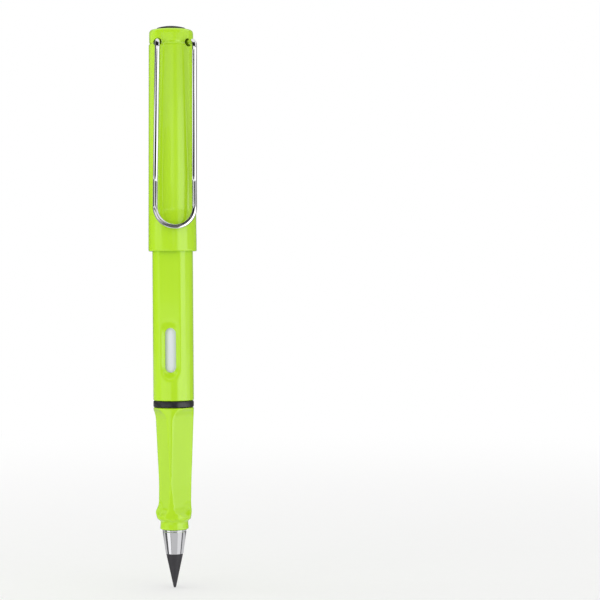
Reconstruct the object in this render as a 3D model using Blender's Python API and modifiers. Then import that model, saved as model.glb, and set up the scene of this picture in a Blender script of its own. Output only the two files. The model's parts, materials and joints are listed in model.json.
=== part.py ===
"""Everlasting pencil in a clip-on cap pen body, standing on its point with the cap posted on its tail.

Metres, +Z up. The origin is on the pencil's axis, where the fingers hold the grip. The flats of the barrel
face -Y and +Y, and the ridge between the two finger facets of the grip faces -Y. The cap with its clip is
turned a little about the axis, as it was pushed on. Each piece is a separate closed solid.
"""

import math

import bmesh
import bpy
from mathutils import Vector

MM = 0.001

# Clearances between pieces
FACE_GAP = 0.08 * MM  # between faces that are seated on each other
PRESS_GAP = 0.05 * MM  # round a piece that is pressed or glued into another
SLIDE_GAP = 0.08 * MM  # round a piece that slides or turns in another
CLIP_HOLE_GAP = 0.42 * MM  # round the clip's wire, which rocks in its holes

# Facets of round pieces
TURNED_STEPS = 48
INNER_STEPS = 32
FILLET_STEPS = 3

# Writing tip: a solid cone of graphite alloy with a stud behind it
TIP_LENGTH = 9.4 * MM
TIP_BASE_RADIUS = 2.35 * MM
TIP_POINT_RADIUS = 0.4 * MM
TIP_STUD_RADIUS = 1.4 * MM
TIP_STUD_LENGTH = 4.0 * MM

# Ferrule: the chromed cone that holds the tip, with a shank that goes up into the grip
FERRULE_LENGTH = 6.87 * MM
FERRULE_NOSE_RADIUS = 2.45 * MM
FERRULE_ROOT_RADIUS = 3.42 * MM
FERRULE_EDGE = 0.15 * MM
SHANK_RADIUS = 2.4 * MM
SHANK_LENGTH = 8.0 * MM
SHANK_CHAMFER = 0.4 * MM

# Grip: round at the top, with two finger facets that end in finger stops above a necked nose
BODY_RADIUS = 5.67 * MM
GRIP_LENGTH = 34.1 * MM
GRIP_LOW_RADIUS = 4.55 * MM  # where the round back of the grip ends, above the neck
NECK_RADIUS = 3.85 * MM
NOSE_RADIUS = 4.0 * MM
NOSE_HEIGHT = 2.0 * MM  # the neck is narrowest this far above the nose's end
NECK_TOP = 3.1 * MM
FACET_ANGLE = math.radians(55)  # between the ridge and the middle of each facet
FACET_TOP = 3.76 * MM  # distance of the facet from the axis where it starts, below the ring
FACET_WAIST = 2.92 * MM  # where it is deepest
FACET_LOW = 3.3 * MM  # where it starts to run out in the finger stop
FACET_START = 30.5 * MM  # heights on the grip of those three
FACET_WAIST_HEIGHT = 13.0 * MM
FACET_LOW_HEIGHT = 6.2 * MM
FACET_TOP_CURVE = 4.2 * MM  # radius in which the facet runs out towards the ring
FACET_LOW_CURVE = 3.0 * MM  # radius in which it runs out in the finger stop
WAIST_SOFTNESS = 0.25 * MM
STOP_SLANT = 1.6 * MM  # how much higher the finger stop reaches at its outer side
STOP_SLANT_ANGLE = math.radians(30)
STOP_ANGLE = math.radians(70)  # between the ridge and the middle of each finger stop
STOP_SWELL = 0.62 * MM  # how far the finger stops stand out of the round back
STOP_HEIGHT = 4.9 * MM
STOP_REACH = 2.0 * MM
STOP_SPREAD = math.radians(24)
EDGE_SOFTNESS = 0.35 * MM  # rounding of the moulded edges between facets and round
GRIP_EDGE = 0.25 * MM
HOLD_HEIGHT = 16.93 * MM  # where the fingers hold, above the nose's end
CHANNEL_RADIUS = 1.7 * MM

# Coupling: the threaded black tube that joins grip and barrel, and carries the inner tube
SPIGOT_RADIUS = 3.0 * MM
SPIGOT_LENGTH = 5.5 * MM
THREAD_RADIUS = 4.5 * MM
THREAD_LENGTH = 5.0 * MM  # inside the barrel
COUPLING_BORE = 2.0 * MM
COUPLING_CHAMFER = 0.3 * MM

# Ring between grip and barrel
RING_THICKNESS = 1.83 * MM
RING_EDGE = 0.4 * MM

# Barrel: a tube with two flats, each with a window slot, and a narrower tail for the posted cap
BARREL_LENGTH = 73.0 * MM
BARREL_BORE = 3.85 * MM
BARREL_END_WALL = 1.6 * MM
BARREL_EDGE = 0.2 * MM
FLAT_DISTANCE = 4.85 * MM
FLAT_START = 8.6 * MM
FLAT_RUN_OUT = 3.0 * MM  # radius of the curve in which a flat runs out below the window
FLAT_TAIL_DROP = 0.1 * MM  # step down of the flat where the posted cap covers it
TAIL_RADIUS = 5.15 * MM
TAIL_ROUNDING = 1.6 * MM
THREAD_RELIEF = 0.5 * MM

# Window slots, with a sloped surround
WINDOW_WIDTH = 3.1 * MM
WINDOW_LENGTH = 12.4 * MM
WINDOW_HEIGHT = 14.1 * MM  # of its middle above the barrel's lower end
SURROUND_SIDE = 1.15 * MM
SURROUND_TOP = 1.9 * MM
SURROUND_FOOT = 0.76 * MM  # steeper, as the flat runs out here
SURROUND_DEPTH = 0.55 * MM
SLOT_ARC_STEPS = 10

# Inner tube: the white tube seen through the windows
INNER_TUBE_RADIUS = 3.5 * MM
INNER_TUBE_WALL = 0.8 * MM
INNER_TUBE_LENGTH = 56.0 * MM
INNER_TUBE_INSET = 4.5 * MM  # held in the coupling

# Cap: a shell with a shallow recess under the clip and a grooved head
CAP_LENGTH = 61.9 * MM
CAP_OVERLAP = 31.3 * MM  # how much of the barrel's tail is inside the posted cap
CAP_TURN = math.radians(16)
CAP_MOUTH_RADIUS = 6.74 * MM
CAP_NECK_RADIUS = 6.28 * MM  # just below the groove
CAP_HEAD_RADIUS = 6.14 * MM
CAP_SHOULDER = 1.5 * MM
CAP_MOUTH_EDGE = 0.8 * MM
CAP_MOUTH_CHAMFER = 0.3 * MM
CAP_SOCKET_DEPTH = 8.0 * MM  # full width of the bore, from the mouth
CAP_TAPER_LENGTH = 2.5 * MM
CAP_HEAD_BORE = 4.4 * MM
CAP_TOP_WALL = 2.1 * MM
GROOVE_DEPTH = 0.15 * MM
GROOVE_WIDTH = 0.9 * MM
GROOVE_EDGE = 0.2 * MM
RECESS_TOP_WIDTH = 5.2 * MM
RECESS_WIDTH = 9.2 * MM
RECESS_END_GAP = 2.0 * MM  # of its round end above the clip's lower end
RECESS_FLOOR_RADIUS = 8.5 * MM
RECESS_RINGS = 11
RECESS_END_RINGS = 7

# Cap liner: the inner cup that closes over the writing tip when the cap is on the front
LINER_DROP = 9.4 * MM  # of its closed end below the cap's top
LINER_TAIL_GAP = 2.0 * MM  # above the barrel's tail
LINER_WALL = 0.9 * MM

# Finial: the black domed disc in the head, whose stem keeps the clip's ends in
FINIAL_RADIUS = 4.0 * MM
FINIAL_DOME = 0.6 * MM
FINIAL_PROUD = 0.5 * MM  # of its rim over the shoulder
FINIAL_THICKNESS = 1.0 * MM
STEM_RADIUS = 2.7 * MM
STEM_LINER_GAP = 3.3 * MM  # between the stem and the closed end of the liner

# Clip: one loop of sprung wire, whose two ends enter the head
WIRE_RADIUS = 0.73 * MM
CLIP_DROP = 3.9 * MM  # of the wire's ends below the cap's top
CLIP_HOLE_ANGLE = math.radians(44)  # of each hole from the clip's direction
CLIP_END_REACH = 2.0 * MM  # how far in front of the axis the ends stop
CLIP_TOP_SPREAD = 5.1 * MM  # half the distance between the legs at their top
CLIP_SPREAD = 5.42 * MM  # and at the round end
CLIP_TOP_REACH = 8.3 * MM  # in front of the axis
CLIP_PINCH_REACH = 7.1 * MM
CLIP_SKEW = 0.5 * MM  # how far its legs stand aside at the top
CLIP_END_LIFT = 0.3 * MM  # between the round end and the cap
CLIP_BEND = 1.5 * MM
CLIP_PINCH_DROP = 38.0 * MM  # below the ends
CLIP_PINCH_BEND = 25.0 * MM
CLIP_LENGTH = 52.7 * MM
CLIP_BEND_STEPS = 6
CLIP_END_STEPS = 16

# Heights above the writing point
FERRULE_BASE = TIP_LENGTH + FACE_GAP
GRIP_BASE = FERRULE_BASE + FERRULE_LENGTH + FACE_GAP
GRIP_TOP = GRIP_BASE + GRIP_LENGTH
RING_BASE = GRIP_TOP + FACE_GAP
BARREL_BASE = RING_BASE + RING_THICKNESS + FACE_GAP
CAP_BASE = BARREL_BASE + BARREL_LENGTH - CAP_OVERLAP
CAP_BORE = TAIL_RADIUS + SLIDE_GAP

# Heights above the cap's mouth
CLIP_HEIGHT = CAP_LENGTH - CLIP_DROP
GROOVE_HEIGHT = CLIP_HEIGHT - GROOVE_WIDTH / 2
RECESS_END = CLIP_HEIGHT - CLIP_LENGTH + RECESS_END_GAP
LINER_BASE = CAP_OVERLAP + LINER_TAIL_GAP
LINER_TOP = CAP_LENGTH - LINER_DROP


def clear_scene():
    for obj in list(bpy.data.objects):
        bpy.data.objects.remove(obj, do_unlink=True)


def new_collection(name):
    collection = bpy.data.collections.new(name)
    bpy.context.scene.collection.children.link(collection)
    return collection


def new_material(name, color, roughness, metallic=0.0):
    material = bpy.data.materials.new(name)
    material.use_nodes = True
    shader = material.node_tree.nodes["Principled BSDF"]
    shader.inputs["Base Color"].default_value = (*color, 1.0)
    shader.inputs["Roughness"].default_value = roughness
    shader.inputs["Metallic"].default_value = metallic
    material.diffuse_color = (*color, 1.0)
    return material


def new_frame(name, parent=None, height=0.0, turn=0.0):
    """An empty on the pencil's axis, which the pieces of one moving group hang from."""
    frame = bpy.data.objects.new(name, None)
    frame.empty_display_size = 5 * MM
    frame.location.z = height
    frame.rotation_euler.z = turn
    frame.parent = parent
    PENCIL.objects.link(frame)
    return frame


def new_object(name, mesh, collection, parent, height=0.0):
    obj = bpy.data.objects.new(name, mesh)
    obj.location.z = height
    obj.parent = parent
    collection.objects.link(obj)
    return obj


def filleted(corners, closed=False, steps=FILLET_STEPS):
    """The outline through (x, y, fillet radius) corners, with an arc in place of each corner that has a fillet."""
    outline = []
    for index, (x, y, fillet) in enumerate(corners):
        corner = Vector((x, y))
        at_end = not closed and index in (0, len(corners) - 1)
        if fillet == 0 or at_end:
            outline.append(corner)
            continue
        back = Vector(corners[index - 1][:2]) - corner
        ahead = Vector(corners[(index + 1) % len(corners)][:2]) - corner
        half = back.angle(ahead) / 2
        reach = min(fillet / math.tan(half), 0.48 * back.length, 0.48 * ahead.length)
        radius = reach * math.tan(half)
        middle = (back.normalized() + ahead.normalized()).normalized()
        centre = corner + middle * (radius / math.sin(half))
        start = corner + back.normalized() * reach - centre
        sweep = start.angle_signed(corner + ahead.normalized() * reach - centre)
        for step in range(steps + 1):
            turn = -sweep * step / steps
            turned = Vector((
                start.x * math.cos(turn) - start.y * math.sin(turn),
                start.x * math.sin(turn) + start.y * math.cos(turn),
            ))
            outline.append(centre + turned)
    return outline


def dome(radius, rise, top, steps=5):
    """Points of a shallow dome, from its top on the axis out to its rim."""
    sphere = (radius**2 + rise**2) / (2 * rise)
    widest = math.asin(radius / sphere)
    angles = [widest * step / steps for step in range(steps + 1)]
    return [(sphere * math.sin(a), top - sphere * (1 - math.cos(a)), 0) for a in angles]


def turned_piece(name, corners, collection, parent, height=0.0, steps=TURNED_STEPS):
    """A turned solid. Its corners run down the outer side; a profile that starts off the axis closes on itself."""
    hollow = corners[0][0] > 0
    outline = filleted(corners, closed=hollow)
    mesh = bpy.data.meshes.new(name)
    edges = [(i, i + 1) for i in range(len(outline) - 1)]
    if hollow:
        edges.append((len(outline) - 1, 0))
    mesh.from_pydata([(p.x, 0, p.y) for p in outline], edges, [])
    obj = new_object(name, mesh, collection, parent, height)
    screw = obj.modifiers.new("Turn", "SCREW")
    screw.axis = "Z"
    screw.steps = steps
    screw.render_steps = steps
    screw.use_merge_vertices = True
    screw.merge_threshold = 0.001 * MM
    return obj


def loft(name, rings, collection, parent, height=0.0):
    """A closed solid through rings of equally many points, listed from the bottom to the top."""
    bm = bmesh.new()
    levels = [[bm.verts.new(point) for point in ring] for ring in rings]
    for low, high in zip(levels, levels[1:]):
        for i in range(len(low)):
            j = (i + 1) % len(low)
            bm.faces.new((low[i], low[j], high[j], high[i]))
    bm.faces.new(reversed(levels[0]))
    bm.faces.new(levels[-1])
    mesh = bpy.data.meshes.new(name)
    bm.to_mesh(mesh)
    bm.free()
    return new_object(name, mesh, collection, parent, height)


def ring_of(radius_at, height, steps):
    """One ring of a loft. radius_at takes the angle from the piece's front, which faces -Y."""
    ring = []
    for step in range(steps):
        angle = 2 * math.pi * step / steps
        radius = radius_at(angle if angle < math.pi else angle - 2 * math.pi)
        ring.append((radius * math.sin(angle), -radius * math.cos(angle), height))
    return ring


def soft_min(a, b, softness):
    """The smaller of two sizes, with the corner between them rounded."""
    overlap = max(softness - abs(a - b), 0) / softness
    return min(a, b) - overlap**2 * softness / 4


def ease(value, start, end):
    """0 up to start, 1 from end on, and a smooth step between them."""
    share = min(max((value - start) / (end - start), 0), 1)
    return share * share * (3 - 2 * share)


def cut(obj, cutter):
    cutter.hide_render = True
    cutter.display_type = "WIRE"
    boolean = obj.modifiers.new("Cut " + cutter.name, "BOOLEAN")
    boolean.operation = "DIFFERENCE"
    boolean.solver = "EXACT"
    boolean.object = cutter


def cylinder_cutter(name, radius, length, parent, place, direction):
    bm = bmesh.new()
    bmesh.ops.create_cone(
        bm, cap_ends=True, segments=24, radius1=radius, radius2=radius, depth=length
    )
    mesh = bpy.data.meshes.new(name)
    bm.to_mesh(mesh)
    bm.free()
    obj = new_object(name, mesh, CUTTERS, parent)
    obj.location = place
    obj.rotation_euler = Vector(direction).to_track_quat("Z", "Y").to_euler()
    return obj


def finish(obj, material):
    """Applies the piece's modifiers, shades it smooth between crisp edges and gives it its material."""
    bpy.context.view_layer.update()
    graph = bpy.context.evaluated_depsgraph_get()
    mesh = bpy.data.meshes.new_from_object(obj.evaluated_get(graph))
    mesh.name = obj.name
    obj.modifiers.clear()
    obj.data = mesh
    mesh.shade_smooth()
    mesh.set_sharp_from_angle(angle=math.radians(32))
    mesh.materials.clear()
    mesh.materials.append(material)
    return obj


def stadium(width, length, middle, depth):
    """Points of a slot with round ends, upright in a plane across Y, anticlockwise seen from the front."""
    straight = (length - width) / 2
    ring = []
    for end, start in ((1, 0), (-1, math.pi)):
        for step in range(SLOT_ARC_STEPS + 1):
            angle = start + math.pi * step / SLOT_ARC_STEPS
            x = width / 2 * math.cos(angle)
            ring.append((x, depth, middle + end * straight + width / 2 * math.sin(angle)))
    return ring


# Writing tip and ferrule


def make_tip(parent):
    lean = math.atan2(TIP_BASE_RADIUS - TIP_POINT_RADIUS, TIP_LENGTH)
    corners = [
        (0, TIP_LENGTH + TIP_STUD_LENGTH, 0),
        (TIP_STUD_RADIUS, TIP_LENGTH + TIP_STUD_LENGTH, 0.2 * MM),
        (TIP_STUD_RADIUS, TIP_LENGTH, 0),
        (TIP_BASE_RADIUS, TIP_LENGTH, 0.1 * MM),
    ]
    for step in range(5):
        angle = lean + (math.pi / 2 - lean) * step / 4
        radius = TIP_POINT_RADIUS * math.cos(angle)
        corners.append((radius, TIP_POINT_RADIUS * (1 - math.sin(angle)), 0))
    corners[-1] = (0, 0, 0)
    tip = turned_piece("lead_tip", corners, PENCIL, parent, 0, INNER_STEPS)
    return finish(tip, new_material("graphite alloy", (0.035, 0.034, 0.036), 0.55, 0.35))


def make_ferrule(parent):
    stud_bore = TIP_STUD_RADIUS + PRESS_GAP
    corners = [
        (0, FERRULE_LENGTH + SHANK_LENGTH, 0),
        (SHANK_RADIUS, FERRULE_LENGTH + SHANK_LENGTH, SHANK_CHAMFER),
        (SHANK_RADIUS, FERRULE_LENGTH, 0),
        (FERRULE_ROOT_RADIUS, FERRULE_LENGTH, FERRULE_EDGE),
        (FERRULE_NOSE_RADIUS, 0, FERRULE_EDGE),
        (stud_bore, 0, 0),
        (stud_bore, TIP_STUD_LENGTH + FACE_GAP, 0),
        (0, TIP_STUD_LENGTH + FACE_GAP, 0),
    ]
    ferrule = turned_piece("ferrule", corners, PENCIL, parent, FERRULE_BASE)
    return finish(ferrule, new_material("chrome", (0.86, 0.87, 0.88), 0.08, 1.0))


# Grip


def curved_run_out(beyond, radius):
    """How far a facet has curved away, at a distance beyond the place where its curve starts."""
    beyond = min(max(beyond, 0), radius)
    return radius - math.sqrt(radius**2 - beyond**2)


def facet_distance(angle, height):
    """How far the finger facets lie from the axis, at an angle and a height on the grip."""
    upper = (FACET_TOP - FACET_WAIST) / (FACET_START - FACET_WAIST_HEIGHT)
    lower = (FACET_LOW - FACET_WAIST) / (FACET_LOW_HEIGHT - FACET_WAIST_HEIGHT)
    above = height - FACET_WAIST_HEIGHT
    flat = FACET_WAIST - soft_min(-upper * above, -lower * above, WAIST_SOFTNESS)
    stop = FACET_LOW_HEIGHT + STOP_SLANT * ease(abs(angle), FACET_ANGLE, FACET_ANGLE + STOP_SLANT_ANGLE)
    flat += curved_run_out(height - FACET_START, FACET_TOP_CURVE)
    return flat + curved_run_out(stop - height, FACET_LOW_CURVE)


def back_radius(height):
    """Radius of the round back of the grip, which narrows to the neck and flares again to the nose."""
    share = (height - NECK_TOP) / (GRIP_LENGTH - NECK_TOP)
    body = GRIP_LOW_RADIUS + (BODY_RADIUS - GRIP_LOW_RADIUS) * share
    if height < NOSE_HEIGHT:
        return NECK_RADIUS + (NOSE_RADIUS - NECK_RADIUS) * (1 - ease(height, 0, NOSE_HEIGHT))
    return NECK_RADIUS + (body - NECK_RADIUS) * ease(height, NOSE_HEIGHT, NECK_TOP)


def grip_radius(angle, height):
    aside = abs(abs(angle) - FACET_ANGLE)
    beside_stop = abs(angle) - STOP_ANGLE
    swell = STOP_SWELL * math.exp(-(((height - STOP_HEIGHT) / STOP_REACH) ** 2))
    swell *= math.exp(-((beside_stop / STOP_SPREAD) ** 2)) * ease(height, NOSE_HEIGHT, NECK_TOP)
    radius = back_radius(height) + swell
    if aside < math.radians(80):
        radius = soft_min(radius, facet_distance(angle, height) / math.cos(aside), EDGE_SOFTNESS)
    return radius


def grip_heights():
    """Ring heights: close together where the neck, the finger stops and the facets' upper ends curve."""
    neck = [0, NOSE_HEIGHT / 2]
    shoulder = [NOSE_HEIGHT + (NECK_TOP - NOSE_HEIGHT) * step / 4 for step in range(4)]
    stop_top = FACET_LOW_HEIGHT + STOP_SLANT
    stop = [NECK_TOP + (stop_top - NECK_TOP) * step / 9 for step in range(9)]
    facet = [stop_top + (FACET_START - stop_top) * step / 8 for step in range(8)]
    waist = [FACET_WAIST_HEIGHT]
    top = GRIP_LENGTH - GRIP_EDGE
    run_out = [FACET_START + (top - FACET_START) * step / 6 for step in range(7)]
    return sorted(neck + shoulder + stop + facet + waist + run_out)


def make_grip(parent):
    rings = [ring_of(lambda a, z=z: grip_radius(a, z), z, TURNED_STEPS) for z in grip_heights()]
    rings.append(ring_of(lambda a: grip_radius(a, GRIP_LENGTH) - GRIP_EDGE, GRIP_LENGTH, TURNED_STEPS))
    grip = loft("grip_section", rings, PENCIL, parent, GRIP_BASE)
    past = 1 * MM
    nose_bore = SHANK_RADIUS + PRESS_GAP
    nose_depth = SHANK_LENGTH + FACE_GAP
    top_bore = SPIGOT_RADIUS + PRESS_GAP
    top_depth = SPIGOT_LENGTH + FACE_GAP
    bore = turned_piece(
        "grip_bore",
        [
            (0, GRIP_LENGTH + past, 0),
            (top_bore, GRIP_LENGTH + past, 0),
            (top_bore, GRIP_LENGTH - top_depth, 0),
            (CHANNEL_RADIUS, GRIP_LENGTH - top_depth, 0),
            (CHANNEL_RADIUS, nose_depth, 0),
            (nose_bore, nose_depth, 0),
            (nose_bore, -past, 0),
            (0, -past, 0),
        ],
        CUTTERS,
        parent,
        GRIP_BASE,
        INNER_STEPS,
    )
    cut(grip, bore)
    return finish(grip, GREEN)


# Coupling, ring and inner tube


def make_coupling(parent):
    collar = RING_THICKNESS + 2 * FACE_GAP
    top = collar + THREAD_LENGTH
    socket = INNER_TUBE_RADIUS + PRESS_GAP
    corners = [
        (THREAD_RADIUS, top, COUPLING_CHAMFER),
        (THREAD_RADIUS, FACE_GAP, 0),
        (SPIGOT_RADIUS, FACE_GAP, 0),
        (SPIGOT_RADIUS, -SPIGOT_LENGTH, COUPLING_CHAMFER),
        (COUPLING_BORE, -SPIGOT_LENGTH, 0),
        (COUPLING_BORE, top - INNER_TUBE_INSET - FACE_GAP, 0),
        (socket, top - INNER_TUBE_INSET - FACE_GAP, 0),
        (socket, top, 0),
    ]
    coupling = turned_piece("threaded_coupling", corners, PENCIL, parent, GRIP_TOP, INNER_STEPS)
    return finish(coupling, BLACK)


def make_inner_tube(parent):
    base = GRIP_TOP + RING_THICKNESS + 2 * FACE_GAP + THREAD_LENGTH - INNER_TUBE_INSET
    inside = INNER_TUBE_RADIUS - INNER_TUBE_WALL
    corners = [
        (0, INNER_TUBE_LENGTH, 0),
        (INNER_TUBE_RADIUS, INNER_TUBE_LENGTH, INNER_TUBE_WALL),
        (INNER_TUBE_RADIUS, 0, 0),
        (inside, 0, 0),
        (inside, INNER_TUBE_LENGTH - INNER_TUBE_WALL, 0),
        (0, INNER_TUBE_LENGTH - INNER_TUBE_WALL, 0),
    ]
    tube = turned_piece("inner_tube", corners, PENCIL, parent, base, INNER_STEPS)
    return finish(tube, new_material("white plastic", (0.72, 0.74, 0.78), 0.3))


def make_ring(parent):
    inside = THREAD_RADIUS + SLIDE_GAP
    corners = [
        (BODY_RADIUS, RING_THICKNESS, RING_EDGE),
        (BODY_RADIUS, 0, RING_EDGE),
        (inside, 0, 0),
        (inside, RING_THICKNESS, 0),
    ]
    return finish(turned_piece("seal_ring", corners, PENCIL, parent, 0), BLACK)


# Barrel


def flat_cutter(parent, side):
    """What one flat takes off the barrel, from a curved run-out below the window up to the tail."""
    depth = BODY_RADIUS - FLAT_DISTANCE
    beyond = BODY_RADIUS + 1 * MM
    sweep = math.acos(1 - (depth + 1 * MM) / (FLAT_RUN_OUT + 1 * MM))
    outline = []
    for step in range(9):
        angle = sweep * (1 - step / 8)
        reach = FLAT_RUN_OUT + 1 * MM
        outline.append((FLAT_DISTANCE + reach * (1 - math.cos(angle)), FLAT_START - reach * math.sin(angle)))
    covered = BARREL_LENGTH - CAP_OVERLAP - FACE_GAP
    lower = FLAT_DISTANCE - FLAT_TAIL_DROP
    top = BARREL_LENGTH + 1 * MM
    outline += [(FLAT_DISTANCE, covered), (lower, covered), (lower, top), (beyond, top)]
    rings = [[(x, side * out, up) for out, up in outline] for x in (-beyond, beyond)]
    if side > 0:
        rings.reverse()
    name = "front_flat" if side < 0 else "back_flat"
    return loft(name, rings, CUTTERS, parent)


def window_cutter(parent, side):
    """One window slot with its sloped surround."""
    inside = side * BARREL_BORE * 0.5
    floor = side * (FLAT_DISTANCE - SURROUND_DEPTH)
    past = BODY_RADIUS - FLAT_DISTANCE + 0.1 * MM
    reach = (SURROUND_DEPTH + past) / SURROUND_DEPTH
    wide = WINDOW_WIDTH + 2 * SURROUND_SIDE * reach
    long = WINDOW_LENGTH + (SURROUND_TOP + SURROUND_FOOT) * reach
    middle = WINDOW_HEIGHT + (SURROUND_TOP - SURROUND_FOOT) * reach / 2
    outside = side * (FLAT_DISTANCE + past)
    rings = [
        stadium(WINDOW_WIDTH, WINDOW_LENGTH, WINDOW_HEIGHT, inside),
        stadium(WINDOW_WIDTH, WINDOW_LENGTH, WINDOW_HEIGHT, floor),
        stadium(wide, long, middle, outside),
    ]
    if side > 0:
        rings.reverse()
    name = "front_window" if side < 0 else "back_window"
    return loft(name, rings, CUTTERS, parent)


def make_barrel(parent):
    shoulder = BARREL_LENGTH - CAP_OVERLAP + CAP_SOCKET_DEPTH
    thread_bore = THREAD_RADIUS + SLIDE_GAP
    thread_depth = THREAD_LENGTH + THREAD_RELIEF
    corners = [
        (0, BARREL_LENGTH, 0),
        (TAIL_RADIUS, BARREL_LENGTH, TAIL_ROUNDING),
        (TAIL_RADIUS, shoulder + CAP_TAPER_LENGTH, 0.5 * MM),
        (BODY_RADIUS, shoulder, 0.5 * MM),
        (BODY_RADIUS, 0, BARREL_EDGE),
        (thread_bore, 0, 0),
        (thread_bore, thread_depth, 0),
        (BARREL_BORE, thread_depth, 0),
        (BARREL_BORE, BARREL_LENGTH - BARREL_END_WALL, 0),
        (0, BARREL_LENGTH - BARREL_END_WALL, 0),
    ]
    barrel = turned_piece("barrel", corners, PENCIL, parent)
    for side in (-1, 1):
        cut(barrel, flat_cutter(parent, side))
        cut(barrel, window_cutter(parent, side))
    return finish(barrel, GREEN)


# Cap


def cap_outline():
    """(radius, height) down the outside of the cap, without the recess."""
    corners = [
        (CAP_HEAD_BORE, CAP_LENGTH, 0),
        (CAP_HEAD_RADIUS, CAP_LENGTH, CAP_SHOULDER),
        (CAP_HEAD_RADIUS, GROOVE_HEIGHT + GROOVE_WIDTH, GROOVE_EDGE),
        (CAP_HEAD_RADIUS - GROOVE_DEPTH, GROOVE_HEIGHT + GROOVE_WIDTH / 2, 0),
        (CAP_NECK_RADIUS, GROOVE_HEIGHT, GROOVE_EDGE),
        (CAP_MOUTH_RADIUS, CAP_MOUTH_EDGE, 0),
        (CAP_MOUTH_RADIUS, 0, CAP_MOUTH_EDGE),
        (BODY_RADIUS, 0, 0),
    ]
    return filleted(corners)


def cap_radius(height):
    """Radius of the tapered side of the cap."""
    share = (height - CAP_MOUTH_EDGE) / (GROOVE_HEIGHT - CAP_MOUTH_EDGE)
    return CAP_MOUTH_RADIUS + (CAP_NECK_RADIUS - CAP_MOUTH_RADIUS) * share


def recess_half_width(height):
    """Half the width of the recess, which widens downwards and ends in a half circle."""
    round_end = RECESS_END + RECESS_WIDTH / 2
    if height < round_end:
        rest = round_end - height
        return math.sqrt(max((RECESS_WIDTH / 2) ** 2 - rest**2, 0))
    share = (height - round_end) / (GROOVE_HEIGHT - round_end)
    return (RECESS_WIDTH + (RECESS_TOP_WIDTH - RECESS_WIDTH) * share) / 2


def cap_surface(angle, radius, height):
    """The cap's radius at an angle from the clip's direction: the recess has a floor of a wider curve."""
    half_width = recess_half_width(height)
    if half_width == 0 or height > GROOVE_HEIGHT or abs(angle) > math.pi / 2:
        return radius
    chord = math.sqrt(radius**2 - half_width**2)
    back = math.sqrt(RECESS_FLOOR_RADIUS**2 - half_width**2) - chord
    aside = back * math.sin(angle)
    floor = math.sqrt(RECESS_FLOOR_RADIUS**2 - aside**2) - back * math.cos(angle)
    return min(radius, floor)


def make_cap_shell(parent):
    levels = [(p.x, p.y) for p in cap_outline()]
    round_end = RECESS_END + RECESS_WIDTH / 2
    for step in range(RECESS_RINGS):
        height = round_end + (GROOVE_HEIGHT - GROOVE_EDGE - round_end) * step / RECESS_RINGS
        levels.append((cap_radius(height), height))
    for step in range(RECESS_END_RINGS):
        angle = math.pi / 2 * step / RECESS_END_RINGS
        height = round_end - RECESS_WIDTH / 2 * math.cos(angle)
        levels.append((cap_radius(height), height))
    low = levels.pop(len(cap_outline()) - 1)
    high = levels.pop(0)
    levels.sort(key=lambda level: level[1])
    rings = []
    for radius, height in [low, *levels, high]:
        rings.append(ring_of(lambda a, r=radius, z=height: cap_surface(a, r, z), height, TURNED_STEPS))
    shell = loft("cap_shell", rings, PENCIL, parent)
    cut(shell, cap_bore(parent))
    for side in (-1, 1):
        cut(shell, clip_hole(parent, side))
    return finish(shell, GREEN)


def cap_bore(parent):
    past = 1 * MM
    mouth = BODY_RADIUS + SLIDE_GAP
    disc = FINIAL_RADIUS + PRESS_GAP
    disc_seat = CAP_LENGTH + FINIAL_PROUD - FINIAL_THICKNESS - FACE_GAP
    head = LINER_TOP + FACE_GAP
    corners = [
        (0, CAP_LENGTH + past, 0),
        (disc, CAP_LENGTH + past, 0),
        (disc, disc_seat, 0),
        (STEM_RADIUS + PRESS_GAP, disc_seat, 0),
        (STEM_RADIUS + PRESS_GAP, CAP_LENGTH - CAP_TOP_WALL, 0),
        (CAP_HEAD_BORE, CAP_LENGTH - CAP_TOP_WALL, 0),
        (CAP_HEAD_BORE, head, 0),
        (CAP_BORE, head, 0),
        (CAP_BORE, CAP_SOCKET_DEPTH + CAP_TAPER_LENGTH, 0),
        (mouth, CAP_SOCKET_DEPTH, 0),
        (mouth, CAP_MOUTH_CHAMFER, 0),
        (mouth + CAP_MOUTH_CHAMFER, 0, 0),
        (mouth + CAP_MOUTH_CHAMFER, -past, 0),
        (0, -past, 0),
    ]
    return turned_piece("cap_bore", corners, CUTTERS, parent)


def make_cap_liner(parent):
    outside = CAP_BORE - PRESS_GAP
    inside = outside - LINER_WALL
    length = LINER_TOP - LINER_BASE
    corners = [
        (0, length, 0),
        (outside, length, 0),
        (outside, 0, 0),
        (inside, 0, 0),
        (inside, length - LINER_WALL, LINER_WALL),
        (0, length - LINER_WALL, 0),
    ]
    liner = turned_piece("cap_liner", corners, PENCIL, parent, LINER_BASE, INNER_STEPS)
    return finish(liner, BLACK)


def make_finial(parent):
    rim = CAP_LENGTH + FINIAL_PROUD
    corners = dome(FINIAL_RADIUS, FINIAL_DOME, rim + FINIAL_DOME)
    corners += [
        (FINIAL_RADIUS, rim - FINIAL_THICKNESS, 0),
        (STEM_RADIUS, rim - FINIAL_THICKNESS, 0),
        (STEM_RADIUS, LINER_TOP + STEM_LINER_GAP, 0.3 * MM),
        (0, LINER_TOP + STEM_LINER_GAP, 0),
    ]
    return finish(turned_piece("cap_finial", corners, PENCIL, parent, 0, INNER_STEPS), BLACK)


# Clip


def clip_hole_place(side):
    """Where the clip's wire passes the outside of the head, and the direction in which it leaves."""
    radius = CAP_HEAD_RADIUS
    place = Vector((side * radius * math.sin(CLIP_HOLE_ANGLE), -radius * math.cos(CLIP_HOLE_ANGLE), CLIP_HEIGHT))
    top = Vector((side * CLIP_TOP_SPREAD + CLIP_SKEW, -CLIP_TOP_REACH, CLIP_HEIGHT))
    return place, (top - place).normalized()


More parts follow.
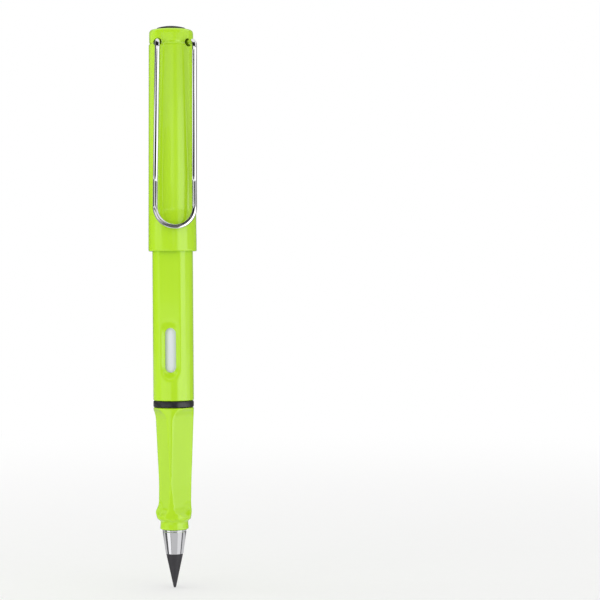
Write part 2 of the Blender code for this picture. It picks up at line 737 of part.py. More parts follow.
def clip_hole(parent, side):
    place, direction = clip_hole_place(side)
    depth = 5.5 * MM
    name = "left_clip_hole" if side < 0 else "right_clip_hole"
    radius = WIRE_RADIUS + CLIP_HOLE_GAP
    return cylinder_cutter(name, radius, depth, parent, place, direction)


def clip_side():
    """The clip seen from the side: (reach in front of the axis, height) from its inner end to its lower end."""
    low = CLIP_HEIGHT - CLIP_LENGTH + 2 * WIRE_RADIUS
    end_reach = cap_radius(low) + CLIP_END_LIFT + WIRE_RADIUS
    head = [(CLIP_END_REACH, CLIP_HEIGHT, 0), (CLIP_TOP_REACH, CLIP_HEIGHT, CLIP_BEND)]
    pinch = (CLIP_PINCH_REACH, CLIP_HEIGHT - CLIP_PINCH_DROP, CLIP_PINCH_BEND)
    return filleted([*head, pinch, (end_reach, low, 0)], steps=CLIP_BEND_STEPS)


def reach_at(side, height):
    """The clip's reach at a height on its legs."""
    for high, low in zip(side, side[1:]):
        if low.y <= height <= high.y and high.y > low.y:
            return low.x + (high.x - low.x) * (height - low.y) / (high.y - low.y)
    return side[-1].x


def clip_leg(right):
    """One leg of the wire, from its end in the head to the start of the round end."""
    side = clip_side()
    place, direction = clip_hole_place(right)
    centre = side[-1].y + CLIP_SPREAD
    leg = []
    for point in side:
        if point.y < centre:
            break
        share = (CLIP_HEIGHT - point.y) / (CLIP_HEIGHT - centre)
        on_run = place.x + direction.x / direction.y * (-point.x - place.y)
        on_leg = right * (CLIP_TOP_SPREAD + (CLIP_SPREAD - CLIP_TOP_SPREAD) * share) + CLIP_SKEW * (1 - share)
        blend = ease(CLIP_HEIGHT - point.y, 0, CLIP_BEND)
        leg.append(Vector((on_run + (on_leg - on_run) * blend, -point.x, point.y)))
    leg.append(Vector((right * CLIP_SPREAD, -reach_at(side, centre), centre)))
    return leg


def clip_path():
    """The wire's middle line, from the end of one leg round to the end of the other."""
    side = clip_side()
    centre = side[-1].y + CLIP_SPREAD
    path = clip_leg(1)
    for step in range(1, CLIP_END_STEPS):
        angle = math.pi * step / CLIP_END_STEPS
        height = centre - CLIP_SPREAD * math.sin(angle)
        path.append(Vector((CLIP_SPREAD * math.cos(angle), -reach_at(side, height), height)))
    return path + clip_leg(-1)[::-1]


def make_clip(parent):
    place, _ = clip_hole_place(1)
    pivot = Vector((0, place.y, CLIP_HEIGHT))
    curve = bpy.data.curves.new("clip", "CURVE")
    curve.dimensions = "3D"
    curve.bevel_depth = WIRE_RADIUS
    curve.bevel_resolution = 3
    curve.use_fill_caps = True
    path = clip_path()
    spline = curve.splines.new("POLY")
    spline.points.add(len(path) - 1)
    for point, place in zip(spline.points, path):
        point.co = (*(place - pivot), 1)
    clip = new_object("clip", curve, PENCIL, parent)
    clip.location = pivot
    curve.materials.append(new_material("polished wire", (0.84, 0.85, 0.87), 0.1, 1.0))
    return clip


clear_scene()
PENCIL = new_collection("everlasting_pencil")
CUTTERS = new_collection("cutters")
GREEN = new_material("green plastic", (0.42, 0.78, 0.045), 0.18)
BLACK = new_material("black plastic", (0.02, 0.02, 0.022), 0.3)

point_frame = new_frame("point_frame", height=-(GRIP_BASE + HOLD_HEIGHT))
make_tip(point_frame)
make_ferrule(point_frame)
make_grip(point_frame)
make_coupling(point_frame)
make_inner_tube(point_frame)

ring_frame = new_frame("ring_frame", point_frame, RING_BASE)
make_ring(ring_frame)

barrel_frame = new_frame("barrel_frame", ring_frame, BARREL_BASE - RING_BASE)
make_barrel(barrel_frame)

cap_frame = new_frame("cap_frame", barrel_frame, CAP_BASE - BARREL_BASE, CAP_TURN)
make_cap_shell(cap_frame)
make_cap_liner(cap_frame)
make_finial(cap_frame)
make_clip(cap_frame)
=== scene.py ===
# %% [markdown]
# # An everlasting pencil with a posted cap
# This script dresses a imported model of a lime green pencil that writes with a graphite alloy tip. The packed
# model is the frame: it holds the pieces at their real size and says which of them move together. Each cell
# below makes one piece or one finish, and says what it is on the real pencil and why it is made that way.

import json
import math

import bpy
from mathutils import Matrix, Vector


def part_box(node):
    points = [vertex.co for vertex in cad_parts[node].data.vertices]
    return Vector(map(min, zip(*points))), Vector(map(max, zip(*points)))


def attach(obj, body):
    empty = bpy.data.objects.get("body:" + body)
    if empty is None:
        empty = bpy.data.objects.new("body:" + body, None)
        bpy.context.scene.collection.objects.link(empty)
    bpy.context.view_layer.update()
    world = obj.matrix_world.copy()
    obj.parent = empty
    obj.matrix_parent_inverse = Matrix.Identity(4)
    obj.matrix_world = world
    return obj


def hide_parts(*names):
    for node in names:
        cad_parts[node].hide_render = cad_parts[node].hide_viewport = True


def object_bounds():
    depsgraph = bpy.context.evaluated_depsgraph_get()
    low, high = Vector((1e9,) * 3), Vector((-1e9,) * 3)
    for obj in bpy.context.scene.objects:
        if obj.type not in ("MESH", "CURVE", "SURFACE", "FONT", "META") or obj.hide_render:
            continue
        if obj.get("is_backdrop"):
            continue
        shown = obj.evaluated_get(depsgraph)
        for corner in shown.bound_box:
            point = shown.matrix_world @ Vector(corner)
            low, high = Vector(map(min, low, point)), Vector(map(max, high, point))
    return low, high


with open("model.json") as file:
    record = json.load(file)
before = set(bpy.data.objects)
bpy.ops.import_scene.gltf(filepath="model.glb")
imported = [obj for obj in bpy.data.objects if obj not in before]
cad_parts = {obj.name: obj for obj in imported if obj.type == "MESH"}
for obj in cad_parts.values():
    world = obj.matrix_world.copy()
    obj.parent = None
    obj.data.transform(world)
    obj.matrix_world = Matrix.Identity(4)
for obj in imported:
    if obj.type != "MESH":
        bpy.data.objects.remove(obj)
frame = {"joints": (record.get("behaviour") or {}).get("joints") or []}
cad_low, cad_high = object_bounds()

# %% [markdown]
# ## Sizes
# Every size is in metres. What the frame knows is read from it, so the dressed pencil can't drift away from
# the solids: the box of a node gives its lower and upper end and its radius. The other sizes are those of
# the moulds and turned pieces. The names say what they measure, and heights count from a piece's lower end.

# %% Sizes that all pieces share
MM = 0.001


def ends(node):
    """Lower end, upper end and radius of an upright round piece."""
    low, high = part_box(node)
    return low.z, high.z, (high.x - low.x) / 2


POINT, _, _ = ends("lead_tip")
FERRULE_BASE, _, FERRULE_RADIUS = ends("ferrule")
GRIP_BASE, GRIP_TOP, _ = ends("grip_section")
RING_BASE, RING_TOP, BODY_RADIUS = ends("seal_ring")
BARREL_BASE, BARREL_TOP, _ = ends("barrel")
CAP_BASE, CAP_TOP, CAP_MOUTH_RADIUS = ends("cap_shell")
LINER_BASE, LINER_TOP, LINER_RADIUS = ends("cap_liner")
TUBE_BASE, TUBE_TOP, TUBE_RADIUS = ends("inner_tube")
COUPLING_BASE, COUPLING_TOP, THREAD_RADIUS = ends("threaded_coupling")
FINIAL_BASE, FINIAL_TOP, FINIAL_RADIUS = ends("cap_finial")

clip_pivot = next(j for j in frame["joints"] if j["name"] == "clip_flex")["pos_m"]
CAP_TURN = math.atan2(clip_pivot[0], -clip_pivot[1])

FACE_GAP = 0.08 * MM
PRESS_GAP = 0.05 * MM
AROUND = 160
FLAT_REACH = math.radians(80)  # a flat is worked out this far round, before its plane runs away
print(f"posted length {(CAP_TOP - POINT) / MM:.1f} mm, cap turned {math.degrees(CAP_TURN):.1f} degrees")

# %% [markdown]
# ## Camera
# The pencil stands left of the middle of the picture, nearly 0.6 m away, and leans a fraction of a degree.
# A shifted lens could put it there, but a shift would stay in every other view. So the camera looks straight
# ahead from a place to the right of the pencil, and a small roll gives the lean.

# %% Place the camera
LENS = 120
SENSOR = 36
CAMERA_DISTANCE = 0.5604
CAMERA_HEIGHT = 0.0516
CAMERA_ASIDE = 0.0356
SEEN_FROM = math.radians(10.5)  # direction from the pencil to the camera, from -Y towards +X
CAMERA_PITCH = math.radians(-0.47)
CAMERA_ROLL = math.radians(-0.36)


def add_object(name, data):
    """A new object in the scene that holds this data."""
    obj = bpy.data.objects.new(name, data)
    bpy.context.scene.collection.objects.link(obj)
    return obj


facing = SEEN_FROM - math.atan2(CAMERA_ASIDE, CAMERA_DISTANCE)
backward = Vector((math.sin(facing), -math.cos(facing), 0))
rightward = Vector((math.cos(facing), math.sin(facing), 0))

camera = add_object("camera", bpy.data.cameras.new("camera"))
camera.data.lens = LENS
camera.data.sensor_width = SENSOR
camera.data.clip_start = 0.01
camera.data.clip_end = 50
turned = Matrix.Rotation(facing, 4, "Z") @ Matrix.Rotation(math.pi / 2 + CAMERA_PITCH, 4, "X")
place = backward * CAMERA_DISTANCE + rightward * CAMERA_ASIDE + Vector((0, 0, CAMERA_HEIGHT))
camera.matrix_world = Matrix.Translation(place) @ turned @ Matrix.Rotation(CAMERA_ROLL, 4, "Z")
bpy.context.scene.camera = camera
print("camera at", [round(c, 3) for c in place])

# %% [markdown]
# ## Node maths
# Both materials and Geometry Nodes do their sums with Math nodes, which are tedious to place by hand. This
# class wraps one socket, so that a Python expression on it adds the nodes. Its `node` method adds any other
# kind: first the settings, then what goes into the sockets.

# %% A socket that takes part in expressions


class Signal:
    """One output of a node, in a material or in a Geometry Nodes tree."""

    def __init__(self, tree, socket=None):
        self.tree = tree
        self.socket = socket

    def node(self, kind, settings=(), inputs=(), out=0):
        made = self.tree.nodes.new(kind)
        for name, value in dict(settings).items():
            setattr(made, name, value)
        for key, value in dict(inputs).items():
            if isinstance(value, Signal):
                self.tree.links.new(value.socket, made.inputs[key])
            else:
                made.inputs[key].default_value = value
        return Signal(self.tree, made.outputs[out])

    def maths(self, operation, *values):
        return self.node("ShaderNodeMath", {"operation": operation}, dict(enumerate(values)))

    def __add__(self, other):
        return self.maths("ADD", self, other)

    def __radd__(self, other):
        return self.maths("ADD", other, self)

    def __sub__(self, other):
        return self.maths("SUBTRACT", self, other)

    def __rsub__(self, other):
        return self.maths("SUBTRACT", other, self)

    def __mul__(self, other):
        return self.maths("MULTIPLY", self, other)

    def __rmul__(self, other):
        return self.maths("MULTIPLY", other, self)

    def __truediv__(self, other):
        return self.maths("DIVIDE", self, other)

    def __rtruediv__(self, other):
        return self.maths("DIVIDE", other, self)

    def __pow__(self, other):
        return self.maths("POWER", self, other)

    def size(self):
        return self.maths("ABSOLUTE", self)

    def eased(self, start, end, low=0.0, high=1.0, kind="SMOOTHSTEP"):
        """low up to start, high from end on, and a smooth step between them."""
        inputs = {0: self, 1: start, 2: end, 3: low, 4: high}
        return self.node("ShaderNodeMapRange", {"interpolation_type": kind}, inputs)

    def blend(self, first, second):
        """A colour between two colours, by this signal."""
        return self.node("ShaderNodeMix", {"data_type": "RGBA"}, {0: self, 6: first, 7: second}, 2)


print("node maths ready")

# %% [markdown]
# ## Finishes
# A finish starts from the Principled shader. What is the same all over is set on the shader's own sockets.
# What changes over the surface is worked out from Object coordinates: the pieces keep their place in their
# mesh, so a pattern stays on a piece when it moves.

# %% Start a finish


def new_finish(name, **constants):
    """A material, the wrapper of its tree, and its shader with the constants set."""
    material = bpy.data.materials.new(name)
    material.use_nodes = True
    shader = material.node_tree.nodes["Principled BSDF"]
    for socket, value in constants.items():
        shader.inputs[socket.replace("_", " ")].default_value = value
    return material, Signal(material.node_tree), shader


def connect(signal, shader, socket):
    """Feeds a signal into one socket of the shader."""
    signal.tree.links.new(signal.socket, shader.inputs[socket])


def noise(place, scale, detail=2.0, stretch=(1, 1, 1)):
    """Noise from 0 to 1 over Object coordinates. The scale is in grains per metre."""
    mapped = place.node("ShaderNodeMapping", (), {"Vector": place, "Scale": stretch})
    inputs = {"Vector": mapped, "Scale": scale, "Detail": detail}
    return place.node("ShaderNodeTexNoise", {"noise_dimensions": "3D"}, inputs)


def bumped(height, depth, strength=1.0):
    """A normal that follows a height from 0 to 1, as deep as depth."""
    inputs = {"Height": height, "Distance": depth, "Strength": strength}
    return height.node("ShaderNodeBump", (), inputs)


print("finishes start from Principled shaders")

# %% [markdown]
# ### Lime green plastic
# The grip, barrel and cap are moulded in coloured plastic with a high gloss. A real moulding isn't one flat
# green: the pigment flows a little unevenly, the gloss has a faint orange peel, and handling leaves hairline
# scratches along the barrel. Each of these is one noise with its own grain size.

# %% Lime plastic
LIME = (0.465, 0.78, 0.014, 1)
LIME_DEEP = (0.45, 0.76, 0.012, 1)

lime, tree, shader = new_finish("lime_plastic", IOR=1.5, Coat_Weight=0.35, Coat_Roughness=0.04)
place = tree.node("ShaderNodeTexCoord", out="Object")
flow = noise(place, 90, 3, (1, 1, 0.35))
connect(flow.eased(0.35, 0.65).blend(LIME, LIME_DEEP), shader, "Base Color")
scratches = noise(place, 2600, 2, (1, 1, 0.02))
peel = noise(place, 1400, 1)
connect(0.13 + 0.05 * scratches + 0.03 * flow, shader, "Roughness")
connect(bumped(peel + 0.3 * scratches, 0.0015 * MM), shader, "Normal")
print("lime plastic: base", LIME[:3])

# %% [markdown]
# ### Chrome
# The ferrule is turned and then plated, so its faint tool marks run round it. The clip's wire is drawn, so
# its marks run along it. Chrome has no colour of its own: it shows what stands round it, which is why the
# lights and dark cards at the end of this script matter more than this shader does.

# %% Plated ferrule and drawn wire
CHROME = (0.84, 0.84, 0.86, 1)
CHROME_DIM = (0.76, 0.76, 0.79, 1)


def chrome_finish(name, stretch, marks):
    """Chrome with marks of a given height, which run along the axis that stretch makes longest."""
    material, tree, shader = new_finish(name, Metallic=1.0)
    place = tree.node("ShaderNodeTexCoord", out="Object")
    cloud = noise(place, 260, 2)
    lines = noise(place, 3200, 2, stretch)
    connect(cloud.blend(CHROME, CHROME_DIM), shader, "Base Color")
    connect(0.02 + 0.03 * lines + 0.02 * cloud, shader, "Roughness")
    connect(bumped(lines, marks), shader, "Normal")
    return material


turned_chrome = chrome_finish("turned_chrome", (0.05, 0.05, 1), 0.0006 * MM)
drawn_chrome = chrome_finish("drawn_chrome", (1, 1, 0.05), 0.0004 * MM)
print("chrome finishes:", turned_chrome.name, drawn_chrome.name)

# %% [markdown]
# ### Graphite alloy
# The writing tip is a hard dark grey metal with a satin skin. Turning leaves fine rings on it, and writing
# polishes the last few millimetres, so the roughness falls towards the point.

# %% Graphite alloy
GRAPHITE = (0.044, 0.042, 0.047, 1)
GRAPHITE_PALE = (0.075, 0.073, 0.08, 1)
WORN_LENGTH = 2.5 * MM

graphite, tree, shader = new_finish("graphite_alloy", Metallic=0.55)
place = tree.node("ShaderNodeTexCoord", out="Object")
height = place.node("ShaderNodeSeparateXYZ", (), {0: place}, 2)
grain = noise(place, 5200, 3)
rings = noise(place, 4200, 1, (0.03, 0.03, 1))
worn = height.eased(POINT, POINT + WORN_LENGTH, 1.0, 0.0)
connect((0.5 * grain + 0.35 * rings).blend(GRAPHITE, GRAPHITE_PALE), shader, "Base Color")
connect(0.42 + 0.16 * grain - 0.14 * worn, shader, "Roughness")
connect(bumped(grain + rings, 0.003 * MM), shader, "Normal")
print("graphite worn over", WORN_LENGTH, "m")

# %% [markdown]
# ### Black and milky plastic
# The ring, coupling, liner and head disc are black plastic of a softer gloss. The inner tube behind the
# windows is milky, with a cool tint, and a faint painted glow lifts the shade it gets inside the barrel.
# Both get the same kind of small unevenness as the green mouldings.

# %% Black and milky plastic


def plain_plastic(name, colour, deep, gloss, grain, **constants):
    """A moulded plastic whose colour and gloss vary a little."""
    material, tree, shader = new_finish(name, **constants)
    place = tree.node("ShaderNodeTexCoord", out="Object")
    cloud = noise(place, 150, 3)
    fine = noise(place, grain, 2)
    connect(cloud.eased(0.3, 0.7).blend(colour, deep), shader, "Base Color")
    connect(gloss + 0.1 * fine, shader, "Roughness")
    connect(bumped(fine, 0.0015 * MM), shader, "Normal")
    return material


black = plain_plastic(
    "black_moulding", (0.018, 0.018, 0.02, 1), (0.012, 0.012, 0.014, 1), 0.2, 2400, IOR=1.5
)
milky = plain_plastic(
    "milky_moulding_painted_glow",
    (0.65, 0.67, 0.72, 1),
    (0.62, 0.65, 0.71, 1),
    0.28,
    1500,
    IOR=1.45,
    # painted glow: a faint cool emission brightens the tube where the barrel's wall shades it
    Emission_Color=(0.9, 0.95, 1, 1),
    Emission_Strength=0.15,
)
print("plastics:", black.name, milky.name)

# %% [markdown]
# ## Helpers for round pieces
# Most of the pencil is turned or moulded round its axis. A profile is a list of (radius, height) corners, and
# some corners are rounded off. A skin then joins rings of points into one closed surface. Where a facet,
# flat or recess leaves the round, the ring's radius follows a rule instead of being the same all round.

# %% Profiles


def rounded(corners, steps=6, closed=False):
    """The (radius, height) outline through (radius, height, rounding) corners."""
    outline = []
    for index, (x, y, rounding) in enumerate(corners):
        corner = Vector((x, y))
        at_end = not closed and index in (0, len(corners) - 1)
        if rounding == 0 or at_end:
            outline.append((x, y))
            continue
        back = Vector(corners[index - 1][:2]) - corner
        ahead = Vector(corners[(index + 1) % len(corners)][:2]) - corner
        half = back.angle(ahead) / 2
        reach = min(rounding / math.tan(half), 0.48 * back.length, 0.48 * ahead.length)
        radius = reach * math.tan(half)
        centre = corner + (back.normalized() + ahead.normalized()).normalized() * (radius / math.sin(half))
        start = corner + back.normalized() * reach - centre
        sweep = start.angle_signed(corner + ahead.normalized() * reach - centre)
        for step in range(steps + 1):
            turned = start.copy()
            turned.rotate(Matrix.Rotation(-sweep * step / steps, 2))
            outline.append(tuple(centre + turned))
    return outline


def refined(outline, longest):
    """The same outline with long stretches divided. longest takes a height and gives a length."""
    fine = [outline[0]]
    for (r0, z0), (r1, z1) in zip(outline, outline[1:]):
        count = max(1, math.ceil(math.hypot(r1 - r0, z1 - z0) / longest((z0 + z1) / 2)))
        for step in range(1, count + 1):
            fine.append((r0 + (r1 - r0) * step / count, z0 + (z1 - z0) * step / count))
    return fine


def soft_min(a, b, softness):
    """The smaller of two sizes, with the corner between them rounded."""
    overlap = max(softness - abs(a - b), 0) / softness
    return min(a, b) - overlap**2 * softness / 4


print("profiles ready")

# %% Skins and cuts


def round_shape(angle, radius, height):
    """The skin's point on a plain turned piece."""
    return radius * math.sin(angle), -radius * math.cos(angle)


def skin(name, profile, material, base, shape=round_shape, closed=False, around=AROUND):
    """A closed surface through one ring of points for each (radius, height) of the profile.

    The profile runs down a bore and up the outside. shape(angle, radius, height) may move a point in the
    plane of its ring: it gives x and y. Angles count from the front, which faces -Y.
    """
    points = []
    for radius, height in profile:
        for step in range(around):
            angle = 2 * math.pi * step / around
            angle -= 2 * math.pi * (angle > math.pi)
            points.append((*shape(angle, radius, height), base + height))
    rings = len(profile)
    faces = []
    for ring in range(rings if closed else rings - 1):
        low = ring * around
        high = (ring + 1) % rings * around
        for i in range(around):
            j = (i + 1) % around
            faces.append((low + i, low + j, high + j, high + i))
    if not closed:
        faces += [tuple(reversed(range(around))), tuple(range((rings - 1) * around, rings * around))]
    mesh = bpy.data.meshes.new(name)
    mesh.from_pydata(points, [], faces)
    mesh.materials.append(material)
    return add_object(name, mesh)


def evaluated_mesh(obj):
    """What the object's modifiers make, as a plain mesh."""
    bpy.context.view_layer.update()
    graph = bpy.context.evaluated_depsgraph_get()
    return bpy.data.meshes.new_from_object(obj.evaluated_get(graph))


def cut(obj, cutter):
    """Takes the cutter's volume off the object and removes the cutter."""
    boolean = obj.modifiers.new("cut", "BOOLEAN")
    boolean.operation = "DIFFERENCE"
    boolean.solver = "EXACT"
    boolean.object = cutter
    mesh = evaluated_mesh(obj)
    obj.modifiers.clear()
    obj.data = mesh
    bpy.data.objects.remove(cutter)


def complete(obj, body, node, sharp=30):
    """Shades a piece smooth between crisp edges and hands it to the frame in place of its CAD node."""
    obj.data.shade_smooth()
    obj.data.set_sharp_from_angle(angle=math.radians(sharp))
    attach(obj, body)
    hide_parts(node)
    obj.data.calc_loop_triangles()
    print(f"{obj.name}: {len(obj.data.loop_triangles)} triangles, rides on {body}")


print("skins have", AROUND, "points round the axis")

# %% [markdown]
# ## Writing tip
# The tip is a solid cone of graphite alloy with a small rounded point. A stud behind it is pressed into the
# ferrule. A turned piece like this needs only its profile, with the point's rounding worked out so that the
# cone's side runs into it without a kink.

# %% Writing tip
TIP_LENGTH = 9.4 * MM
TIP_BASE_RADIUS = 2.35 * MM
TIP_POINT_RADIUS = 0.4 * MM
TIP_STUD_RADIUS = 1.4 * MM
TIP_STUD_LENGTH = 4.0 * MM
TIP_EDGE = 0.12 * MM
TIP_START = math.radians(88)  # where the point's rounding starts, a hair beside the axis
TIP_STEPS = 12

lean = math.atan2(TIP_BASE_RADIUS - TIP_POINT_RADIUS, TIP_LENGTH)
profile = []
for step in range(TIP_STEPS + 1):
    angle = TIP_START + (lean - TIP_START) * step / TIP_STEPS
    profile.append((TIP_POINT_RADIUS * math.cos(angle), TIP_POINT_RADIUS * (1 - math.sin(angle))))
profile += rounded(
    [
        (*profile[-1], 0),
        (TIP_BASE_RADIUS, TIP_LENGTH, TIP_EDGE),
        (TIP_STUD_RADIUS, TIP_LENGTH, 0),
        (TIP_STUD_RADIUS, TIP_LENGTH + TIP_STUD_LENGTH, 0.2 * MM),
        (TIP_STUD_RADIUS / 2, TIP_LENGTH + TIP_STUD_LENGTH, 0),
    ]
)[1:]
tip = skin("tip_cone", profile, graphite, POINT)
complete(tip, "tip", "lead_tip")

# %% [markdown]
# ## Ferrule
# The ferrule is a chromed cone. A narrow bead runs round its upper end, where the eye sees a thin line of
# light under the grip, and its shank goes up into the grip's nose. The stud's bore is part of the profile.

# %% Ferrule
FERRULE_LENGTH = 6.87 * MM
FERRULE_NOSE_RADIUS = 2.45 * MM
BEAD_LENGTH = 0.55 * MM
BEAD_GROOVE = 0.12 * MM
SHANK_RADIUS = 2.4 * MM
SHANK_LENGTH = 8.0 * MM
FERRULE_EDGE = 0.12 * MM

stud_bore = TIP_STUD_RADIUS + PRESS_GAP
bore_end = TIP_STUD_LENGTH + FACE_GAP
bead = FERRULE_LENGTH - BEAD_LENGTH
bead_radius = FERRULE_RADIUS - (FERRULE_RADIUS - FERRULE_NOSE_RADIUS) * BEAD_LENGTH / FERRULE_LENGTH
profile = rounded(
    [
        (stud_bore, bore_end, 0),
        (stud_bore, 0, 0),
        (FERRULE_NOSE_RADIUS, 0, FERRULE_EDGE),
        (bead_radius, bead - BEAD_GROOVE, 0.04 * MM),
        (bead_radius - BEAD_GROOVE, bead, 0.03 * MM),
        (bead_radius, bead + BEAD_GROOVE, 0.1 * MM),
        (FERRULE_RADIUS, FERRULE_LENGTH, FERRULE_EDGE),
        (SHANK_RADIUS, FERRULE_LENGTH, 0),
        (SHANK_RADIUS, FERRULE_LENGTH + SHANK_LENGTH, 0.4 * MM),
        (SHANK_RADIUS / 2, FERRULE_LENGTH + SHANK_LENGTH, 0),
    ]
)
ferrule = skin("ferrule_cone", profile, turned_chrome, FERRULE_BASE)
complete(ferrule, "tip", "ferrule")

# %% [markdown]
# ## Helpers for Geometry Nodes
# A Geometry Nodes tree is built here in the script. Its sizes are named inputs, so anyone can change them in
# the modifier's panel. The modifier finds each input by its identifier. Once it is evaluated the result is
# kept as a plain mesh, because the exported model has no modifiers.

# %% Grow a piece with Geometry Nodes


def new_tree(name, sizes):
    """A Geometry Nodes tree with a geometry input and named sizes; gives wrappers of all of them."""
    tree = bpy.data.node_groups.new(name, "GeometryNodeTree")
    tree.interface.new_socket("Geometry", in_out="INPUT", socket_type="NodeSocketGeometry")
    for label in sizes:
        tree.interface.new_socket(label, in_out="INPUT", socket_type="NodeSocketFloat")
    tree.interface.new_socket("Geometry", in_out="OUTPUT", socket_type="NodeSocketGeometry")
    entry = tree.nodes.new("NodeGroupInput")
    return tree, {socket.name: Signal(tree, socket) for socket in entry.outputs if socket.name}


def grow(name, tree, geometry, sizes, material, source=None):
    """Ends the tree, runs it on an object with these sizes and gives the plain mesh object."""
    plain = geometry.node("GeometryNodeRealizeInstances", (), {0: geometry})
    coloured = plain.node("GeometryNodeSetMaterial", (), {"Geometry": plain, "Material": material})
    leave = tree.nodes.new("NodeGroupOutput")
    tree.links.new(coloured.socket, leave.inputs[0])
    obj = source or add_object(name, bpy.data.meshes.new(name))
    modifier = obj.modifiers.new(name, "NODES")
    modifier.node_group = tree
    for item in tree.interface.items_tree:
        if item.in_out == "INPUT" and item.name in sizes:
            modifier[item.identifier] = sizes[item.name]
    mesh = evaluated_mesh(obj)
    bpy.data.objects.remove(obj)
    return add_object(name, mesh)


def unit_cylinder(tree, around, rings):
    """A cylinder of radius 1 and length 1, whose points a rule then moves."""
    inputs = {"Vertices": around, "Side Segments": rings, "Radius": 1.0, "Depth": 1.0}
    return Signal(tree).node("GeometryNodeMeshCylinder", {"fill_type": "NGON"}, inputs)


def round_point(tree):
    """The place of each point of a tree's cylinder, and its angle from the front."""
    place = Signal(tree).node("GeometryNodeInputPosition")
    x, y, z = (place.node("ShaderNodeSeparateXYZ", (), {0: place}, axis) for axis in range(3))
    return x, y, z, x.maths("ARCTAN2", x, 0 - y)


def set_rings(cylinder, x, y, radius, height):
    """Moves each point of a cylinder of radius 1 to its radius and height."""
    target = radius.node("ShaderNodeCombineXYZ", (), {0: x * radius, 1: y * radius, 2: height})
    return radius.node("GeometryNodeSetPosition", (), {"Geometry": cylinder, "Position": target})


print("trees end in Realize Instances and Set Material")

# %% [markdown]
# ## Grip
# The grip is the piece that makes this pencil. It is round where it meets the ring, then two finger facets
# run down it and leave a ridge between them, and each facet ends in a swelling that stops the finger. Below
# that the moulding draws in to a neck and flares at the nose. One rule gives its radius for every height and
# angle, so a Geometry Nodes tree on a plain cylinder follows it exactly: the back's radius, the stop's swell
# and the facet's distance meet in smooth minimums, which give the soft edges of a mould.

# %% Grip sizes
GRIP_SIZES = {
    "Length": GRIP_TOP - GRIP_BASE,
    "Body Radius": BODY_RADIUS,
    "Low Radius": 4.55 * MM,
    "Neck Radius": 3.85 * MM,
    "Nose Radius": 4.0 * MM,
    "Nose Height": 2.0 * MM,
    "Neck Top": 3.1 * MM,
    "Facet Angle": math.radians(55),
    "Facet Top": 3.76 * MM,
    "Facet Waist": 2.92 * MM,
    "Facet Low": 3.3 * MM,
    "Start Height": 30.5 * MM,
    "Top Curve": 4.2 * MM,
    "Low Curve": 3.0 * MM,
    "Waist Height": 13.0 * MM,
    "Low Height": 6.2 * MM,
    "Waist Softness": 0.25 * MM,
    "Stop Slant": 1.6 * MM,
    "Stop Slant Angle": math.radians(30),
    "Swell Angle": math.radians(70),
    "Swell": 0.62 * MM,
    "Swell Height": 4.9 * MM,
    "Swell Reach": 2.0 * MM,
    "Swell Spread": math.radians(24),
    "Softness": 0.35 * MM,
    "Top Softness": 0.6 * MM,
    "Edge": 0.3 * MM,
}
GRIP_RINGS = 260
RING_CROWDING = 0.6  # 0 spaces the rings evenly, 1 crowds them at both ends
SOFTENING = 0.7  # share of the facet's start height from which its edges grow softer
print("grip rule:", len(GRIP_SIZES), "sizes")

# %% Grip rule: round back and finger stops
tree, size = new_tree("finger_grip_rule", GRIP_SIZES)
cylinder = unit_cylinder(tree, AROUND, GRIP_RINGS)
x, y, z, angle = round_point(tree)
turn = (z + 0.5) * (2 * math.pi)
height = size["Length"] * (z + 0.5 - RING_CROWDING / (2 * math.pi) * turn.maths("SINE", turn))

rise = (height - size["Neck Top"]) / (size["Length"] - size["Neck Top"])
body = size["Low Radius"] + (size["Body Radius"] - size["Low Radius"]) * rise
past_nose = height.eased(size["Nose Height"], size["Neck Top"])
back = size["Neck Radius"] + (body - size["Neck Radius"]) * past_nose
back = back + (size["Nose Radius"] - size["Neck Radius"]) * height.eased(0, size["Nose Height"], 1, 0)

aside = (angle.size() - size["Facet Angle"]).size()
above_stop = (height - size["Swell Height"]) / size["Swell Reach"]
beside_stop = (angle.size() - size["Swell Angle"]) / size["Swell Spread"]
fall = 0 - above_stop * above_stop - beside_stop * beside_stop
swell = size["Swell"] * past_nose * fall.maths("EXPONENT", fall)
print("back and stops:", len(tree.nodes), "nodes")

# %% Grip rule: facets
above_waist = height - size["Waist Height"]
upper = (size["Facet Top"] - size["Facet Waist"]) / (size["Start Height"] - size["Waist Height"])
lower = (size["Facet Low"] - size["Facet Waist"]) / (size["Low Height"] - size["Waist Height"])
slopes = (upper * above_waist, lower * above_waist, size["Waist Softness"])
facet = size["Facet Waist"] + above_waist.maths("SMOOTH_MAX", *slopes)
slanted = angle.size().eased(size["Facet Angle"], size["Facet Angle"] + size["Stop Slant Angle"])
stop = size["Low Height"] + size["Stop Slant"] * slanted
for beyond, curve in (
    (height - size["Start Height"], size["Top Curve"]),
    (stop - height, size["Low Curve"]),
):
    beyond = curve.maths("MINIMUM", curve, beyond.maths("MAXIMUM", beyond, 0))
    facet = facet + curve - (curve * curve - beyond * beyond) ** 0.5
slant = aside.maths("MINIMUM", aside, FLAT_REACH)
top = size["Start Height"]
softness = height.eased(SOFTENING * top, top, size["Softness"], size["Top Softness"])
radius = back.maths("SMOOTH_MIN", back + swell, facet / slant.maths("COSINE", slant), softness)
print("with facets:", len(tree.nodes), "nodes")

# %% Grip rule: rounded ends
for edge in (
    height.eased(size["Length"] - size["Edge"], size["Length"], kind="LINEAR"),
    height.eased(0, size["Edge"], 1, 0, kind="LINEAR"),
):
    radius = radius - size["Edge"] * (1 - (1 - edge * edge) ** 0.5)
grip_geometry = set_rings(cylinder, x, y, radius, height)
print("whole grip rule:", len(tree.nodes), "nodes")

# %% Grip moulding
SPIGOT_RADIUS = 3.0 * MM
SPIGOT_LENGTH = 5.5 * MM
CHANNEL_RADIUS = 1.7 * MM
PAST = 1 * MM  # how far a cutter reaches beyond the piece

